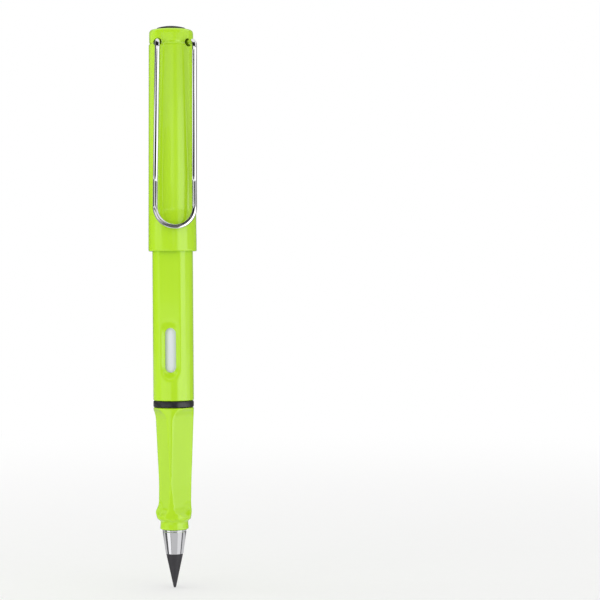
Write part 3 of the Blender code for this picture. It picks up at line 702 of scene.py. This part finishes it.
grip = grow("grip_moulding", tree, grip_geometry, GRIP_SIZES, lime)
grip.data.transform(Matrix.Translation((0, 0, GRIP_BASE)))
length = GRIP_SIZES["Length"]
nose_depth = SHANK_LENGTH + FACE_GAP
top_depth = SPIGOT_LENGTH + FACE_GAP
bore = skin(
    "grip_bore",
    [
        (SHANK_RADIUS + PRESS_GAP, -PAST),
        (SHANK_RADIUS + PRESS_GAP, nose_depth),
        (CHANNEL_RADIUS, nose_depth),
        (CHANNEL_RADIUS, length - top_depth),
        (SPIGOT_RADIUS + PRESS_GAP, length - top_depth),
        (SPIGOT_RADIUS + PRESS_GAP, length + PAST),
    ],
    lime,
    GRIP_BASE,
)
cut(grip, bore)
complete(grip, "grip", "grip_section")

# %% [markdown]
# ## Threaded coupling
# Grip and barrel are screwed together on a black tube. Its thread shows when the barrel is unscrewed. A
# thread could be a profile swept along a helix, but the sweep would only lie in the core. Here the core's own
# surface moves in and out with height and angle, at one turn for each pitch, so it stays one closed shape.

# %% Thread rule
THREAD_SIZES = {
    "Length": COUPLING_TOP - COUPLING_BASE,
    "Spigot Radius": SPIGOT_RADIUS,
    "Spigot Length": SPIGOT_LENGTH + FACE_GAP,
    "Crest Radius": THREAD_RADIUS,
    "Thread Depth": 0.42 * MM,
    "Thread Length": 5.0 * MM,
    "Pitch": 1.0 * MM,
}
THREAD_RINGS = 300
THREAD_AROUND = 120

tree, size = new_tree("thread_rule", THREAD_SIZES)
cylinder = unit_cylinder(tree, THREAD_AROUND, THREAD_RINGS)
x, y, z, angle = round_point(tree)
height = size["Length"] * (z + 0.5)
start = size["Length"] - size["Thread Length"]
turns = height / size["Pitch"] - angle / (2 * math.pi)
wave = (2 * turns.maths("FRACT", turns) - 1).size()
valley = wave.eased(0.3, 0.8, 1, 0, kind="LINEAR") * height.eased(start, start + size["Pitch"])
thread = size["Crest Radius"] - size["Thread Depth"] * valley
lead_in = size["Crest Radius"] - size["Thread Depth"] + size["Length"] - height
thread = thread.maths("MINIMUM", thread, lead_in)
step_up = height.eased(size["Spigot Length"] - 0.03 * MM, size["Spigot Length"], kind="LINEAR")
radius = size["Spigot Radius"] + (thread - size["Spigot Radius"]) * step_up
thread_geometry = set_rings(cylinder, x, y, radius, height)
print("thread rule:", len(tree.nodes), "nodes")

# %% Coupling
COUPLING_BORE = 2.0 * MM
INNER_TUBE_INSET = 4.5 * MM

coupling = grow("coupling_thread", tree, thread_geometry, THREAD_SIZES, black)
coupling.data.transform(Matrix.Translation((0, 0, COUPLING_BASE)))
length = THREAD_SIZES["Length"]
seat = length - INNER_TUBE_INSET - FACE_GAP
bore = skin(
    "coupling_bore",
    [
        (COUPLING_BORE, -PAST),
        (COUPLING_BORE, seat),
        (TUBE_RADIUS + PRESS_GAP, seat),
        (TUBE_RADIUS + PRESS_GAP, length + PAST),
    ],
    black,
    COUPLING_BASE,
    around=THREAD_AROUND,
)
cut(coupling, bore)
complete(coupling, "grip", "threaded_coupling")

# %% [markdown]
# ## Inner tube and ring
# The milky tube stands in the coupling and is what one sees through the barrel's windows. The black ring
# lies between grip and barrel. Both are plain turned pieces whose rounded edges catch a thin line of light.

# %% Inner tube
TUBE_WALL = 0.8 * MM

length = TUBE_TOP - TUBE_BASE
profile = rounded(
    [
        (TUBE_RADIUS - TUBE_WALL, length - TUBE_WALL, 0),
        (TUBE_RADIUS - TUBE_WALL, 0, 0.15 * MM),
        (TUBE_RADIUS, 0, 0.15 * MM),
        (TUBE_RADIUS, length, TUBE_WALL),
        (TUBE_RADIUS / 3, length, 0),
    ]
)
inner_tube = skin("inner_sleeve", profile, milky, TUBE_BASE)
complete(inner_tube, "grip", "inner_tube")

# %% Ring
RING_EDGE = 0.4 * MM
SLIDE_GAP = 0.08 * MM

thickness = RING_TOP - RING_BASE
inside = THREAD_RADIUS + SLIDE_GAP
profile = rounded(
    [
        (inside, thickness, 0.1 * MM),
        (inside, 0, 0.1 * MM),
        (BODY_RADIUS, 0, RING_EDGE),
        (BODY_RADIUS, thickness, RING_EDGE),
    ],
    closed=True,
)
ring = skin("ring_band", profile, black, RING_BASE, closed=True)
complete(ring, "ring", "seal_ring")

# %% [markdown]
# ## Barrel
# The barrel is a tube with two flats. Each flat starts in a curved run-out just above the ring and carries a
# window slot with a sloped surround. Flats and surrounds are part of the skin's rule, which gives them the
# soft edges of a mould. The slot is a crisp hole, so it is cut with a Boolean. The rings of the skin are
# closest where the window and the run-out need them.

# %% Barrel sizes
BARREL_LENGTH = BARREL_TOP - BARREL_BASE
BARREL_BORE = 3.85 * MM
BARREL_END_WALL = 1.6 * MM
FLAT_DISTANCE = 4.85 * MM
FLAT_START = 8.6 * MM
FLAT_RUN_OUT = 3.0 * MM
FLAT_SOFTNESS = 0.22 * MM
TAIL_RADIUS = 5.15 * MM
TAIL_ROUNDING = 1.6 * MM
CAP_OVERLAP = BARREL_TOP - CAP_BASE
CAP_SOCKET_DEPTH = 8.0 * MM
CAP_TAPER_LENGTH = 2.5 * MM
WINDOW_WIDTH = 3.1 * MM
WINDOW_LENGTH = 12.4 * MM
WINDOW_HEIGHT = 14.1 * MM
SURROUND_SIDE = 1.15 * MM
SURROUND_TOP = 1.9 * MM
SURROUND_FOOT = 0.76 * MM
SURROUND_DEPTH = 0.55 * MM
SURROUND_SOFTNESS = 0.08 * MM
BARREL_AROUND = 192
FINE_RINGS_END = 24 * MM  # the rings are close below this, round the window and the run-out
print(f"barrel {BARREL_LENGTH / MM:.1f} mm long, {CAP_OVERLAP / MM:.1f} mm of it in the cap")

# %% Barrel rule


def flat_distance(height):
    """How far a flat lies from the axis. Below its start it curves outwards."""
    below = max(FLAT_START - height, 0)
    below = min(below, FLAT_RUN_OUT)
    return FLAT_DISTANCE + FLAT_RUN_OUT - math.sqrt(FLAT_RUN_OUT**2 - below**2)


def surround_distance(x, height):
    """How far the slope round a window lies from the axis: deepest at the slot, and rising outwards."""
    rise = height - WINDOW_HEIGHT
    inner = WINDOW_WIDTH / 2
    straight = (WINDOW_LENGTH - WINDOW_WIDTH) / 2
    share = (abs(x) - inner) / SURROUND_SIDE
    longer = (SURROUND_TOP if rise > 0 else SURROUND_FOOT) - SURROUND_SIDE
    if abs(rise) > straight + longer * max(share, 0):
        past = abs(rise) - straight
        a = SURROUND_SIDE**2 - longer**2
        b = 2 * (inner * SURROUND_SIDE + past * longer)
        c = inner**2 - x**2 - past**2
        share = (-b + math.sqrt(max(b * b - 4 * a * c, 0))) / (2 * a)
    return FLAT_DISTANCE - SURROUND_DEPTH * (1 - max(share, 0))


def barrel_shape(angle, radius, height):
    """The skin's point: round, or on a flat, or in a window's surround."""
    aside = min(abs(angle), math.pi - abs(angle))
    if aside < FLAT_REACH:
        radius = soft_min(radius, flat_distance(height) / math.cos(aside), FLAT_SOFTNESS)
    x, y = round_shape(angle, radius, height)
    near_window = abs(height - WINDOW_HEIGHT) < WINDOW_LENGTH / 2 + 1.3 * SURROUND_TOP
    if near_window and radius > BARREL_BORE + PAST / 2:
        y = math.copysign(soft_min(abs(y), surround_distance(x, height), SURROUND_SOFTNESS), y)
    return x, y


def barrel_rings(height):
    """The longest step between two rings of the skin."""
    return 0.16 * MM if height < FINE_RINGS_END else 0.7 * MM


print(f"flats {2 * flat_distance(BARREL_LENGTH) / MM:.1f} mm apart")

# %% Barrel
thread_bore = THREAD_RADIUS + SLIDE_GAP
thread_depth = THREAD_SIZES["Thread Length"] + 0.5 * MM
shoulder = BARREL_LENGTH - CAP_OVERLAP + CAP_SOCKET_DEPTH
bore = rounded(
    [
        (BARREL_BORE, BARREL_LENGTH - BARREL_END_WALL, 0),
        (BARREL_BORE, thread_depth, 0),
        (thread_bore, thread_depth, 0),
        (thread_bore, 0, 0),
    ]
)
outside = rounded(
    [
        (thread_bore, 0, 0),
        (BODY_RADIUS, 0, 0.3 * MM),
        (BODY_RADIUS, shoulder, 0.5 * MM),
        (TAIL_RADIUS, shoulder + CAP_TAPER_LENGTH, 0.5 * MM),
        (TAIL_RADIUS, BARREL_LENGTH, TAIL_ROUNDING),
        (0.5 * MM, BARREL_LENGTH, 0),
    ]
)
profile = bore + refined(outside, barrel_rings)[1:]
barrel = skin("barrel_tube", profile, lime, BARREL_BASE, barrel_shape, around=BARREL_AROUND)


def slot_cutter(name, width, length, middle, reach, steps=24):
    """A prism with round ends that reaches through the barrel from front to back."""
    outline = []
    for end, start in ((1, 0), (-1, math.pi)):
        for step in range(steps + 1):
            angle = start + math.pi * step / steps
            height = end * (length - width) / 2 + width / 2 * math.sin(angle)
            outline.append((width / 2 * math.cos(angle), middle + height))
    count = len(outline)
    points = [(x, -reach, z) for x, z in outline] + [(x, reach, z) for x, z in outline]
    faces = [tuple(range(count)), tuple(reversed(range(count, 2 * count)))]
    for i in range(count):
        j = (i + 1) % count
        faces.append((j, i, i + count, j + count))
    mesh = bpy.data.meshes.new(name)
    mesh.from_pydata(points, [], faces)
    return add_object(name, mesh)


middle = BARREL_BASE + WINDOW_HEIGHT
cut(barrel, slot_cutter("window_slot", WINDOW_WIDTH, WINDOW_LENGTH, middle, 2 * BODY_RADIUS))
complete(barrel, "barrel", "barrel")

# %% [markdown]
# ## Cap
# The cap is a tapered shell. In front it has a shallow recess under the clip, which widens downwards and ends
# in a half round like the clip itself, and a fine groove runs round below its head. The recess is another
# rule on a skin: its floor is part of a wider circle. The clip's two holes are cut with Booleans.

# %% Cap sizes
CAP_LENGTH = CAP_TOP - CAP_BASE
CAP_NECK_RADIUS = 6.28 * MM
CAP_HEAD_RADIUS = 6.14 * MM
CAP_SHOULDER = 1.5 * MM
CAP_MOUTH_EDGE = 0.8 * MM
CAP_MOUTH_CHAMFER = 0.3 * MM
CAP_HEAD_BORE = 4.4 * MM
CAP_TOP_WALL = 2.1 * MM
WIRE_RADIUS = 0.73 * MM
CLIP_LENGTH = 52.7 * MM
CLIP_HEIGHT = CAP_LENGTH - 3.9 * MM  # of the wire's ends
GROOVE_DEPTH = 0.15 * MM
GROOVE_WIDTH = 0.9 * MM
GROOVE_HEIGHT = CLIP_HEIGHT - GROOVE_WIDTH / 2
RECESS_TOP_WIDTH = 5.2 * MM
RECESS_WIDTH = 9.2 * MM
RECESS_END = CLIP_HEIGHT - CLIP_LENGTH + 2.0 * MM
RECESS_FLOOR_RADIUS = 8.5 * MM
RECESS_SOFTNESS = 0.06 * MM
CLIP_HOLE_ANGLE = math.radians(44)
CLIP_HOLE_RADIUS = WIRE_RADIUS + 0.42 * MM
CLIP_HOLE_AROUND = 48
CLIP_HOLE_REACH = 2.75 * MM
CLIP_TOP_SPREAD = 5.1 * MM
CLIP_TOP_REACH = 8.3 * MM
CLIP_SKEW = 0.5 * MM  # how far the legs stand aside at the top
STEM_RADIUS = 2.7 * MM
FINIAL_THICKNESS = 1.0 * MM
FINIAL_DOME = 0.6 * MM
TURN = Matrix.Rotation(CAP_TURN, 4, "Z")
print(f"recess starts {RECESS_END / MM:.1f} mm above the mouth")

# %% Cap rule


def recess_half_width(height):
    """Half the recess's width at a height, or 0 below it."""
    round_end = RECESS_END + RECESS_WIDTH / 2
    if height < round_end:
        return math.sqrt(max((RECESS_WIDTH / 2) ** 2 - (round_end - height) ** 2, 0))
    share = (height - round_end) / (GROOVE_HEIGHT - round_end)
    return (RECESS_WIDTH + (RECESS_TOP_WIDTH - RECESS_WIDTH) * share) / 2


def cap_shape(angle, radius, height):
    """The skin's point: round, or on the recess's floor in front."""
    half_width = recess_half_width(height)
    in_front = abs(angle) < math.pi / 2 and radius > CAP_HEAD_RADIUS and height < GROOVE_HEIGHT
    if half_width > 0 and in_front:
        chord = math.sqrt(radius**2 - half_width**2)
        back = math.sqrt(RECESS_FLOOR_RADIUS**2 - half_width**2) - chord
        floor = math.sqrt(RECESS_FLOOR_RADIUS**2 - (back * math.sin(angle)) ** 2) - back * math.cos(angle)
        radius = soft_min(radius, floor, RECESS_SOFTNESS)
    return round_shape(angle, radius, height)


def cap_rings(height):
    """The longest step between two rings of the skin."""
    return 0.15 * MM if height < RECESS_END + RECESS_WIDTH / 2 else 0.45 * MM


print(f"recess {2 * recess_half_width(GROOVE_HEIGHT) / MM:.1f} mm wide at its top")

# %% Cap
mouth = BODY_RADIUS + SLIDE_GAP
cap_bore = TAIL_RADIUS + SLIDE_GAP
head = LINER_TOP - CAP_BASE + FACE_GAP
rim = FINIAL_TOP - CAP_BASE - FINIAL_DOME
disc_seat = rim - FINIAL_THICKNESS - FACE_GAP
inside = [
    (FINIAL_RADIUS + PRESS_GAP, disc_seat),
    (STEM_RADIUS + PRESS_GAP, disc_seat),
    (STEM_RADIUS + PRESS_GAP, CAP_LENGTH - CAP_TOP_WALL),
    (CAP_HEAD_BORE, CAP_LENGTH - CAP_TOP_WALL),
    (CAP_HEAD_BORE, head),
    (cap_bore, head),
    (cap_bore, CAP_SOCKET_DEPTH + CAP_TAPER_LENGTH),
    (mouth, CAP_SOCKET_DEPTH),
    (mouth, CAP_MOUTH_CHAMFER),
    (mouth + CAP_MOUTH_CHAMFER, 0),
]
outside = rounded(
    [
        (mouth + CAP_MOUTH_CHAMFER, 0, 0),
        (CAP_MOUTH_RADIUS, 0, CAP_MOUTH_EDGE),
        (CAP_MOUTH_RADIUS, 2 * CAP_MOUTH_EDGE, 0),
        (CAP_NECK_RADIUS, GROOVE_HEIGHT, 0.2 * MM),
        (CAP_HEAD_RADIUS - GROOVE_DEPTH, GROOVE_HEIGHT + GROOVE_WIDTH / 2, 0.1 * MM),
        (CAP_HEAD_RADIUS, GROOVE_HEIGHT + GROOVE_WIDTH, 0.2 * MM),
        (CAP_HEAD_RADIUS, CAP_LENGTH, CAP_SHOULDER),
        (FINIAL_RADIUS + PRESS_GAP, CAP_LENGTH, 0),
    ]
)
profile = inside + refined(outside, cap_rings)[1:]
cap = skin("cap_moulding", profile, lime, CAP_BASE, cap_shape, closed=True, around=BARREL_AROUND)


def clip_hole_place(side):
    """Where the clip's wire passes the outside of the head, and the direction in which it leaves."""
    across = side * CAP_HEAD_RADIUS * math.sin(CLIP_HOLE_ANGLE)
    place = Vector((across, -CAP_HEAD_RADIUS * math.cos(CLIP_HOLE_ANGLE), CLIP_HEIGHT))
    top = Vector((side * CLIP_TOP_SPREAD + CLIP_SKEW, -CLIP_TOP_REACH, CLIP_HEIGHT))
    return place, (top - place).normalized()


drill = [(CLIP_HOLE_RADIUS, -CLIP_HOLE_REACH), (CLIP_HOLE_RADIUS, CLIP_HOLE_REACH)]
for side in (-1, 1):
    place, direction = clip_hole_place(side)
    hole = skin("clip_hole", drill, lime, 0, around=CLIP_HOLE_AROUND)
    aim = direction.to_track_quat("Z", "Y").to_matrix().to_4x4()
    hole.data.transform(Matrix.Translation(place + Vector((0, 0, CAP_BASE))) @ aim)
    cut(cap, hole)
cap.data.transform(TURN)
complete(cap, "cap", "cap_shell")

# %% [markdown]
# ## Liner and head disc
# Inside the cap sits a black cup that closes over the writing tip, and a black domed disc fills the head. Its
# stem goes down through the head and keeps the clip's ends in place.

# %% Liner
LINER_WALL = 0.9 * MM

length = LINER_TOP - LINER_BASE
profile = rounded(
    [
        (LINER_RADIUS - LINER_WALL, length - LINER_WALL, 0),
        (LINER_RADIUS - LINER_WALL, 0, 0.2 * MM),
        (LINER_RADIUS, 0, 0.2 * MM),
        (LINER_RADIUS, length, 0.2 * MM),
        (LINER_RADIUS / 2, length, 0),
    ]
)
liner = skin("cap_inner_cup", profile, black, LINER_BASE)
complete(liner, "cap", "cap_liner")

# %% Head disc
DOME_SHARE = 0.9  # share of the disc's radius that the dome covers
DOME_STEPS = 18

rim_height = FINIAL_TOP - FINIAL_BASE - FINIAL_DOME
under = rim_height - FINIAL_THICKNESS
sphere = (FINIAL_RADIUS**2 + FINIAL_DOME**2) / (2 * FINIAL_DOME)
dome = DOME_SHARE * FINIAL_RADIUS
profile = rounded(
    [
        (STEM_RADIUS / 2, 0, 0),
        (STEM_RADIUS, 0, 0.3 * MM),
        (STEM_RADIUS, under, 0),
        (FINIAL_RADIUS, under, 0),
        (FINIAL_RADIUS, rim_height, 0.15 * MM),
        (dome, rim_height + FINIAL_DOME * (1 - DOME_SHARE**2), 0),
    ]
)
for step in range(1, DOME_STEPS):
    angle = math.asin(dome / sphere) * (1 - step / DOME_STEPS)
    profile.append((sphere * math.sin(angle), rim_height + FINIAL_DOME - sphere * (1 - math.cos(angle))))
disc = skin("head_disc", profile, black, FINIAL_BASE)
complete(disc, "cap", "cap_finial")

# %% [markdown]
# ## Clip
# The clip is one loop of sprung wire. Its ends enter the head, it bends down at once, runs along the cap a
# little closer at its pinch than at its ends, and closes in a half circle. The script works out the wire's
# middle line, and a small Geometry Nodes tree sweeps a circle along it. The pinch matters to the looks: below
# it the wire faces downwards, and mirrors other things than above it.

# %% Middle line of the wire
CLIP_END_REACH = 2.0 * MM
CLIP_SPREAD = 5.42 * MM
CLIP_PINCH_REACH = 7.1 * MM
CLIP_PINCH_DROP = 38.0 * MM
CLIP_PINCH_BEND = 25.0 * MM
CLIP_END_LIFT = 0.3 * MM
CLIP_BEND = 1.5 * MM
CLIP_END_STEPS = 48


def cap_radius(height):
    """The cap's radius in front, between its mouth and its groove."""
    share = (height - CAP_MOUTH_EDGE) / (GROOVE_HEIGHT - CAP_MOUTH_EDGE)
    return CAP_MOUTH_RADIUS + (CAP_NECK_RADIUS - CAP_MOUTH_RADIUS) * share


low = CLIP_HEIGHT - CLIP_LENGTH + 2 * WIRE_RADIUS
side_line = refined(
    rounded(
        [
            (CLIP_END_REACH, CLIP_HEIGHT, 0),
            (CLIP_TOP_REACH, CLIP_HEIGHT, CLIP_BEND),
            (CLIP_PINCH_REACH, CLIP_HEIGHT - CLIP_PINCH_DROP, CLIP_PINCH_BEND),
            (cap_radius(low) + CLIP_END_LIFT + WIRE_RADIUS, low, 0),
        ],
        steps=14,
    ),
    lambda height: 1 * MM,
)


def reach_at(height):
    """How far in front of the axis the wire is, at a height on its legs."""
    for (r0, z0), (r1, z1) in zip(side_line, side_line[1:]):
        if z1 <= height <= z0 and z0 > z1:
            return r1 + (r0 - r1) * (height - z1) / (z0 - z1)
    return side_line[-1][0]


def ease(value, start, end):
    """0 up to start, 1 from end on, and a smooth step between them."""
    share = min(max((value - start) / (end - start), 0), 1)
    return share * share * (3 - 2 * share)


def clip_leg(right):
    """The right (1) or left (-1) leg's middle line, from its end in the head to the round end."""
    place, direction = clip_hole_place(right)
    leg = []
    for reach, height in side_line:
        if height > centre:
            on_run = place.x + direction.x / direction.y * (-reach - place.y)
            share = (CLIP_HEIGHT - height) / (CLIP_HEIGHT - centre)
            spread = CLIP_TOP_SPREAD + (CLIP_SPREAD - CLIP_TOP_SPREAD) * share
            on_leg = right * spread + CLIP_SKEW * (1 - share)
            blend = ease(CLIP_HEIGHT - height, 0, CLIP_BEND)
            leg.append(Vector((on_run + (on_leg - on_run) * blend, -reach, height)))
    return leg


centre = low + CLIP_SPREAD
path = clip_leg(1)
for step in range(CLIP_END_STEPS + 1):
    angle = math.pi * step / CLIP_END_STEPS
    height = centre - CLIP_SPREAD * math.sin(angle)
    path.append(Vector((CLIP_SPREAD * math.cos(angle), -reach_at(height), height)))
path += clip_leg(-1)[::-1]
print("clip path:", len(path), "points")

# %% Sweep the wire
CLIP_TREE_SIZES = {"Wire Radius": WIRE_RADIUS}
WIRE_SIDES = 32

tree, size = new_tree("wire_sweep", CLIP_TREE_SIZES)
radius = size["Wire Radius"]
section = radius.node("GeometryNodeCurvePrimitiveCircle", (), {"Resolution": WIRE_SIDES, "Radius": radius})
swept = radius.node(
    "GeometryNodeCurveToMesh", (), {"Curve": size["Geometry"], "Profile Curve": section, "Fill Caps": True}
)
curve = bpy.data.curves.new("clip_middle_line", "CURVE")
curve.dimensions = "3D"
spline = curve.splines.new("POLY")
spline.points.add(len(path) - 1)
for point, middle in zip(spline.points, path):
    point.co = (*middle, 1)
line = add_object("clip_middle_line", curve)
clip = grow("clip_loop", tree, swept, CLIP_TREE_SIZES, drawn_chrome, line)
clip.data.transform(TURN @ Matrix.Translation((0, 0, CAP_BASE)))
complete(clip, "clip", "clip", sharp=50)

# %% [markdown]
# ## Floor, background and light
# A pale floor takes the pencil's shadow and fades into a white background. Plastic and chrome need different
# things: the green wants even light from all round, or it looks modelled in clay, and the chrome wants bright
# and dark things to mirror. So the lamps light only what is dull, and a ring of bright and dark cards, which
# only reflections see, stands round the pencil and lies on the floor.

# %% Floor and background
FLOOR_RADIUS = 3.0
FADE_START = 0.02  # the floor turns into the background between these two distances
FADE_END = 0.6
WHITE = (1, 1, 1, 1)
FLOOR_COLOUR = (0.95, 0.95, 0.945, 1)
FLOOR_SHADE = (0.93, 0.93, 0.925, 1)

floor = skin("floor", [(FLOOR_RADIUS, -FLOOR_RADIUS / 100), (FLOOR_RADIUS, 0)], milky, POINT)
floor_finish, tree, shader = new_finish("pale_floor", Roughness=0.8, Specular_IOR_Level=0.0)
place = tree.node("ShaderNodeTexCoord", out="Object")
distance = place.node("ShaderNodeVectorMath", {"operation": "LENGTH"}, {0: place}, 1)
connect(noise(place, 400, 2).blend(FLOOR_COLOUR, FLOOR_SHADE), shader, "Base Color")
glow = place.node("ShaderNodeEmission", (), {"Color": WHITE, "Strength": 1.0})
lit = Signal(floor_finish.node_tree, shader.outputs[0])
mixed = place.node("ShaderNodeMixShader", (), {0: distance.eased(FADE_START, FADE_END), 1: lit, 2: glow})
output = floor_finish.node_tree.nodes["Material Output"]
floor_finish.node_tree.links.new(mixed.socket, output.inputs["Surface"])
floor.data.materials.clear()
floor.data.materials.append(floor_finish)
floor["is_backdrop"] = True
print("floor at height", round(POINT, 5))

# %% World
AMBIENT = 0.86
BACKGROUND = 1.0

world = bpy.data.worlds.new("studio")
world.use_nodes = True
bpy.context.scene.world = world
rays = world.node_tree.nodes.new("ShaderNodeLightPath")
camera_ray, glossy_ray, transmission_ray = (
    Signal(world.node_tree, rays.outputs[f"Is {kind} Ray"]) for kind in ("Camera", "Glossy", "Transmission")
)
shown = camera_ray + glossy_ray + transmission_ray
strength = AMBIENT + (BACKGROUND - AMBIENT) * shown.maths("MINIMUM", shown, 1)
shade = world.node_tree.nodes["Background"]
shade.inputs["Color"].default_value = WHITE
world.node_tree.links.new(strength.socket, shade.inputs["Strength"])
print("ambient", AMBIENT)

# %% Lamps
LAMP_HEIGHT = 0.15
LAMPS = (
    # name, azimuth from the camera's direction to the right, distance, width, height, radiance
    ("right_softbox", 50, 1.0, 0.6, 0.7, 0.95),
    ("left_softbox", -50, 1.0, 0.6, 0.7, 0.95),
    ("left_rear_softbox", -105, 1.0, 0.6, 0.7, 1.8),
    ("back_softbox", 180, 1.2, 0.8, 0.7, 0.5),
)


def from_camera(azimuth, distance, height):
    """A place round the pencil. The azimuth counts in degrees from the camera's direction to the right."""
    angle = math.radians(azimuth) + SEEN_FROM
    return Vector((distance * math.sin(angle), -distance * math.cos(angle), height))


for name, azimuth, distance, width, tall, radiance in LAMPS:
    light = bpy.data.lights.new(name, "AREA")
    light.shape = "RECTANGLE"
    light.size = width
    light.size_y = tall
    light.energy = 4 * radiance * width * tall  # an area light's radiance is a quarter of its power by area
    lamp = add_object(name, light)
    place = from_camera(azimuth, distance, LAMP_HEIGHT)
    aim = (Vector((0, 0, BARREL_BASE)) - place).to_track_quat("-Z", "Y")
    lamp.matrix_world = Matrix.Translation(place) @ aim.to_matrix().to_4x4()
    lamp.visible_glossy = False
    lamp.visible_camera = False
print("lamps:", ", ".join(row[0] for row in LAMPS))

# %% [markdown]
# ### Cards for the reflections
# Gloss and wire are bent mirrors, so the place of a card decides where a bright or dark line falls on the
# pencil. The wire leans outwards above its pinch and inwards below it, and so it mirrors other heights than
# the cap beside it. This is why the cards stand in three rings, the last one far away, and why some lie on
# the floor like slices of a disc. A small dark canopy hangs over the cap, for what faces upwards.

# %% Cards that stand
CARD_DISTANCE = 1.9
CARD_TOP = 1.3
STANDING = (
    # name, first and last azimuth, lower and upper height, radiance
    ("dark_front", -14, 20, POINT, 0.12, 0.05),
    ("grey_front", -14, 20, 0.12, 0.16, 0.4),
    ("bright_right", 26, 74, POINT, 0.26, 1.9),
    ("grey_side_right", 74, 106, POINT, CARD_TOP, 0.8),
    ("dark_back_right", 106, 180, POINT, CARD_TOP, 0.2),
    ("dark_back_left", -180, -140, POINT, CARD_TOP, 0.12),
    ("dark_side_left", -140, -92, POINT, 0.2, 0.04),
    ("grey_side_left", -140, -98, 0.2, CARD_TOP, 0.4),
    ("grey_low_left", -92, -50, POINT, 0.14, 0.65),
)
NEARER_DISTANCE = 1.8
NEARER = (
    ("dark_wire_low", -54, -2, 0.03, 0.24, 0.02),
    ("grey_wire_right", 76, 106, 0.05, 0.25, 0.3),
)
FAR_DISTANCE = 8.0
FAR = (
    ("bright_front", -22, 10, 0.45, 1.12, 1.4),
    ("grey_front_right", 10, 24, 0.45, 1.12, 0.4),
    ("bright_right_high", 26, 74, 0.7, 0.88, 1.9),
    ("grey_right_high", 26, 74, 0.88, 1.6, 0.45),
    ("dark_front_high", -24, 24, 1.12, 4.6, 0.02),
    ("dark_bend_left", -90, -24, 1.45, 4.6, 0.02),
    ("bright_side_left", -98, -50, 0.35, 0.74, 1.25),
    ("dark_side_high", -98, -54, 0.78, 1.45, 0.02),
)
print("standing cards:", len(STANDING) + len(NEARER) + len(FAR))

# %% Cards that lie
SECTOR_HEIGHT = POINT + 0.4 * MM
FLOOR_START = 4 * MM
NEAR_FLOOR_END = 70 * MM
DARK_FLOOR_END = 180 * MM
CANOPY_HEIGHT = 0.135
CANOPY_START = 16 * MM
CANOPY_END = 110 * MM
LYING = (
    # name, first and last azimuth, nearer and farther distance, radiance
    ("grey_floor_front", -34, 32, FLOOR_START, NEAR_FLOOR_END, 0.6),
    ("dark_floor_seam", -41, -36, FLOOR_START, NEAR_FLOOR_END, 0.1),
    ("bright_floor_left", -78, -41, FLOOR_START, NEAR_FLOOR_END, 1.1),
    ("dark_floor_left", -105, -78, FLOOR_START, NEAR_FLOOR_END, 0.1),
    ("grey_floor_left", -170, -105, FLOOR_START, NEAR_FLOOR_END, 0.6),
    ("bright_floor_right", 32, 78, FLOOR_START, NEAR_FLOOR_END, 0.85),
    ("dark_floor_right", 78, 94, FLOOR_START, NEAR_FLOOR_END, 0.15),
    ("grey_floor_right", 94, 170, FLOOR_START, NEAR_FLOOR_END, 0.65),
    ("dark_floor_front", -60, 26, NEAR_FLOOR_END, DARK_FLOOR_END, 0.08),
    ("far_floor_front", -14, 20, DARK_FLOOR_END, CARD_DISTANCE, 0.15),
    ("far_floor_left", -75, -14, DARK_FLOOR_END, CARD_DISTANCE, 1.0),
    ("far_floor_back_left", -180, -75, NEAR_FLOOR_END, CARD_DISTANCE, 0.33),
    ("far_floor_right", 26, 84, NEAR_FLOOR_END, CARD_DISTANCE, 2.0),
    ("far_floor_side", 84, 106, NEAR_FLOOR_END, CARD_DISTANCE, 1.1),
    ("far_floor_back_right", 106, 180, NEAR_FLOOR_END, CARD_DISTANCE, 0.2),
)
print("lying cards:", len(LYING))

# %% Place the cards
CARD_STEPS = 24


def card(name, first, last, near, far, radiance):
    """A card bent round the pencil between two (distance, height) edges, which only reflections see."""
    points = []
    for distance, height in (near, far):
        for step in range(CARD_STEPS + 1):
            azimuth = first + (last - first) * step / CARD_STEPS
            points.append(from_camera(azimuth, distance, height))
    faces = [(i, i + 1, i + CARD_STEPS + 2, i + CARD_STEPS + 1) for i in range(CARD_STEPS)]
    mesh = bpy.data.meshes.new(name)
    mesh.from_pydata(points, [], faces)
    finish, _, shader = new_finish(name, Roughness=1.0, Emission_Color=WHITE, Emission_Strength=radiance)
    shader.inputs["Base Color"].default_value = (0, 0, 0, 1)
    shader.inputs["Specular IOR Level"].default_value = 0
    mesh.materials.append(finish)
    obj = add_object(name, mesh)
    for kind in ("camera", "diffuse", "shadow", "transmission", "volume_scatter"):
        setattr(obj, f"visible_{kind}", False)
    obj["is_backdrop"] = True


for distance, rows in ((CARD_DISTANCE, STANDING), (NEARER_DISTANCE, NEARER), (FAR_DISTANCE, FAR)):
    for name, first, last, low, high, radiance in rows:
        card(name, first, last, (distance, low), (distance, high), radiance)
for name, first, last, near, far, radiance in LYING:
    card(name, first, last, (near, SECTOR_HEIGHT), (far, SECTOR_HEIGHT), radiance)
card("dark_canopy", -90, 45, (CANOPY_START, CANOPY_HEIGHT), (CANOPY_END, CANOPY_HEIGHT), 0.02)
print("cards placed, with the canopy last")

# %% Write the boxes and finish
bpy.context.scene.view_settings.view_transform = "Standard"
low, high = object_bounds()
for axis, name in enumerate("xyz"):
    print(name, [round(v / MM, 3) for v in (cad_low[axis], low[axis], high[axis], cad_high[axis])])
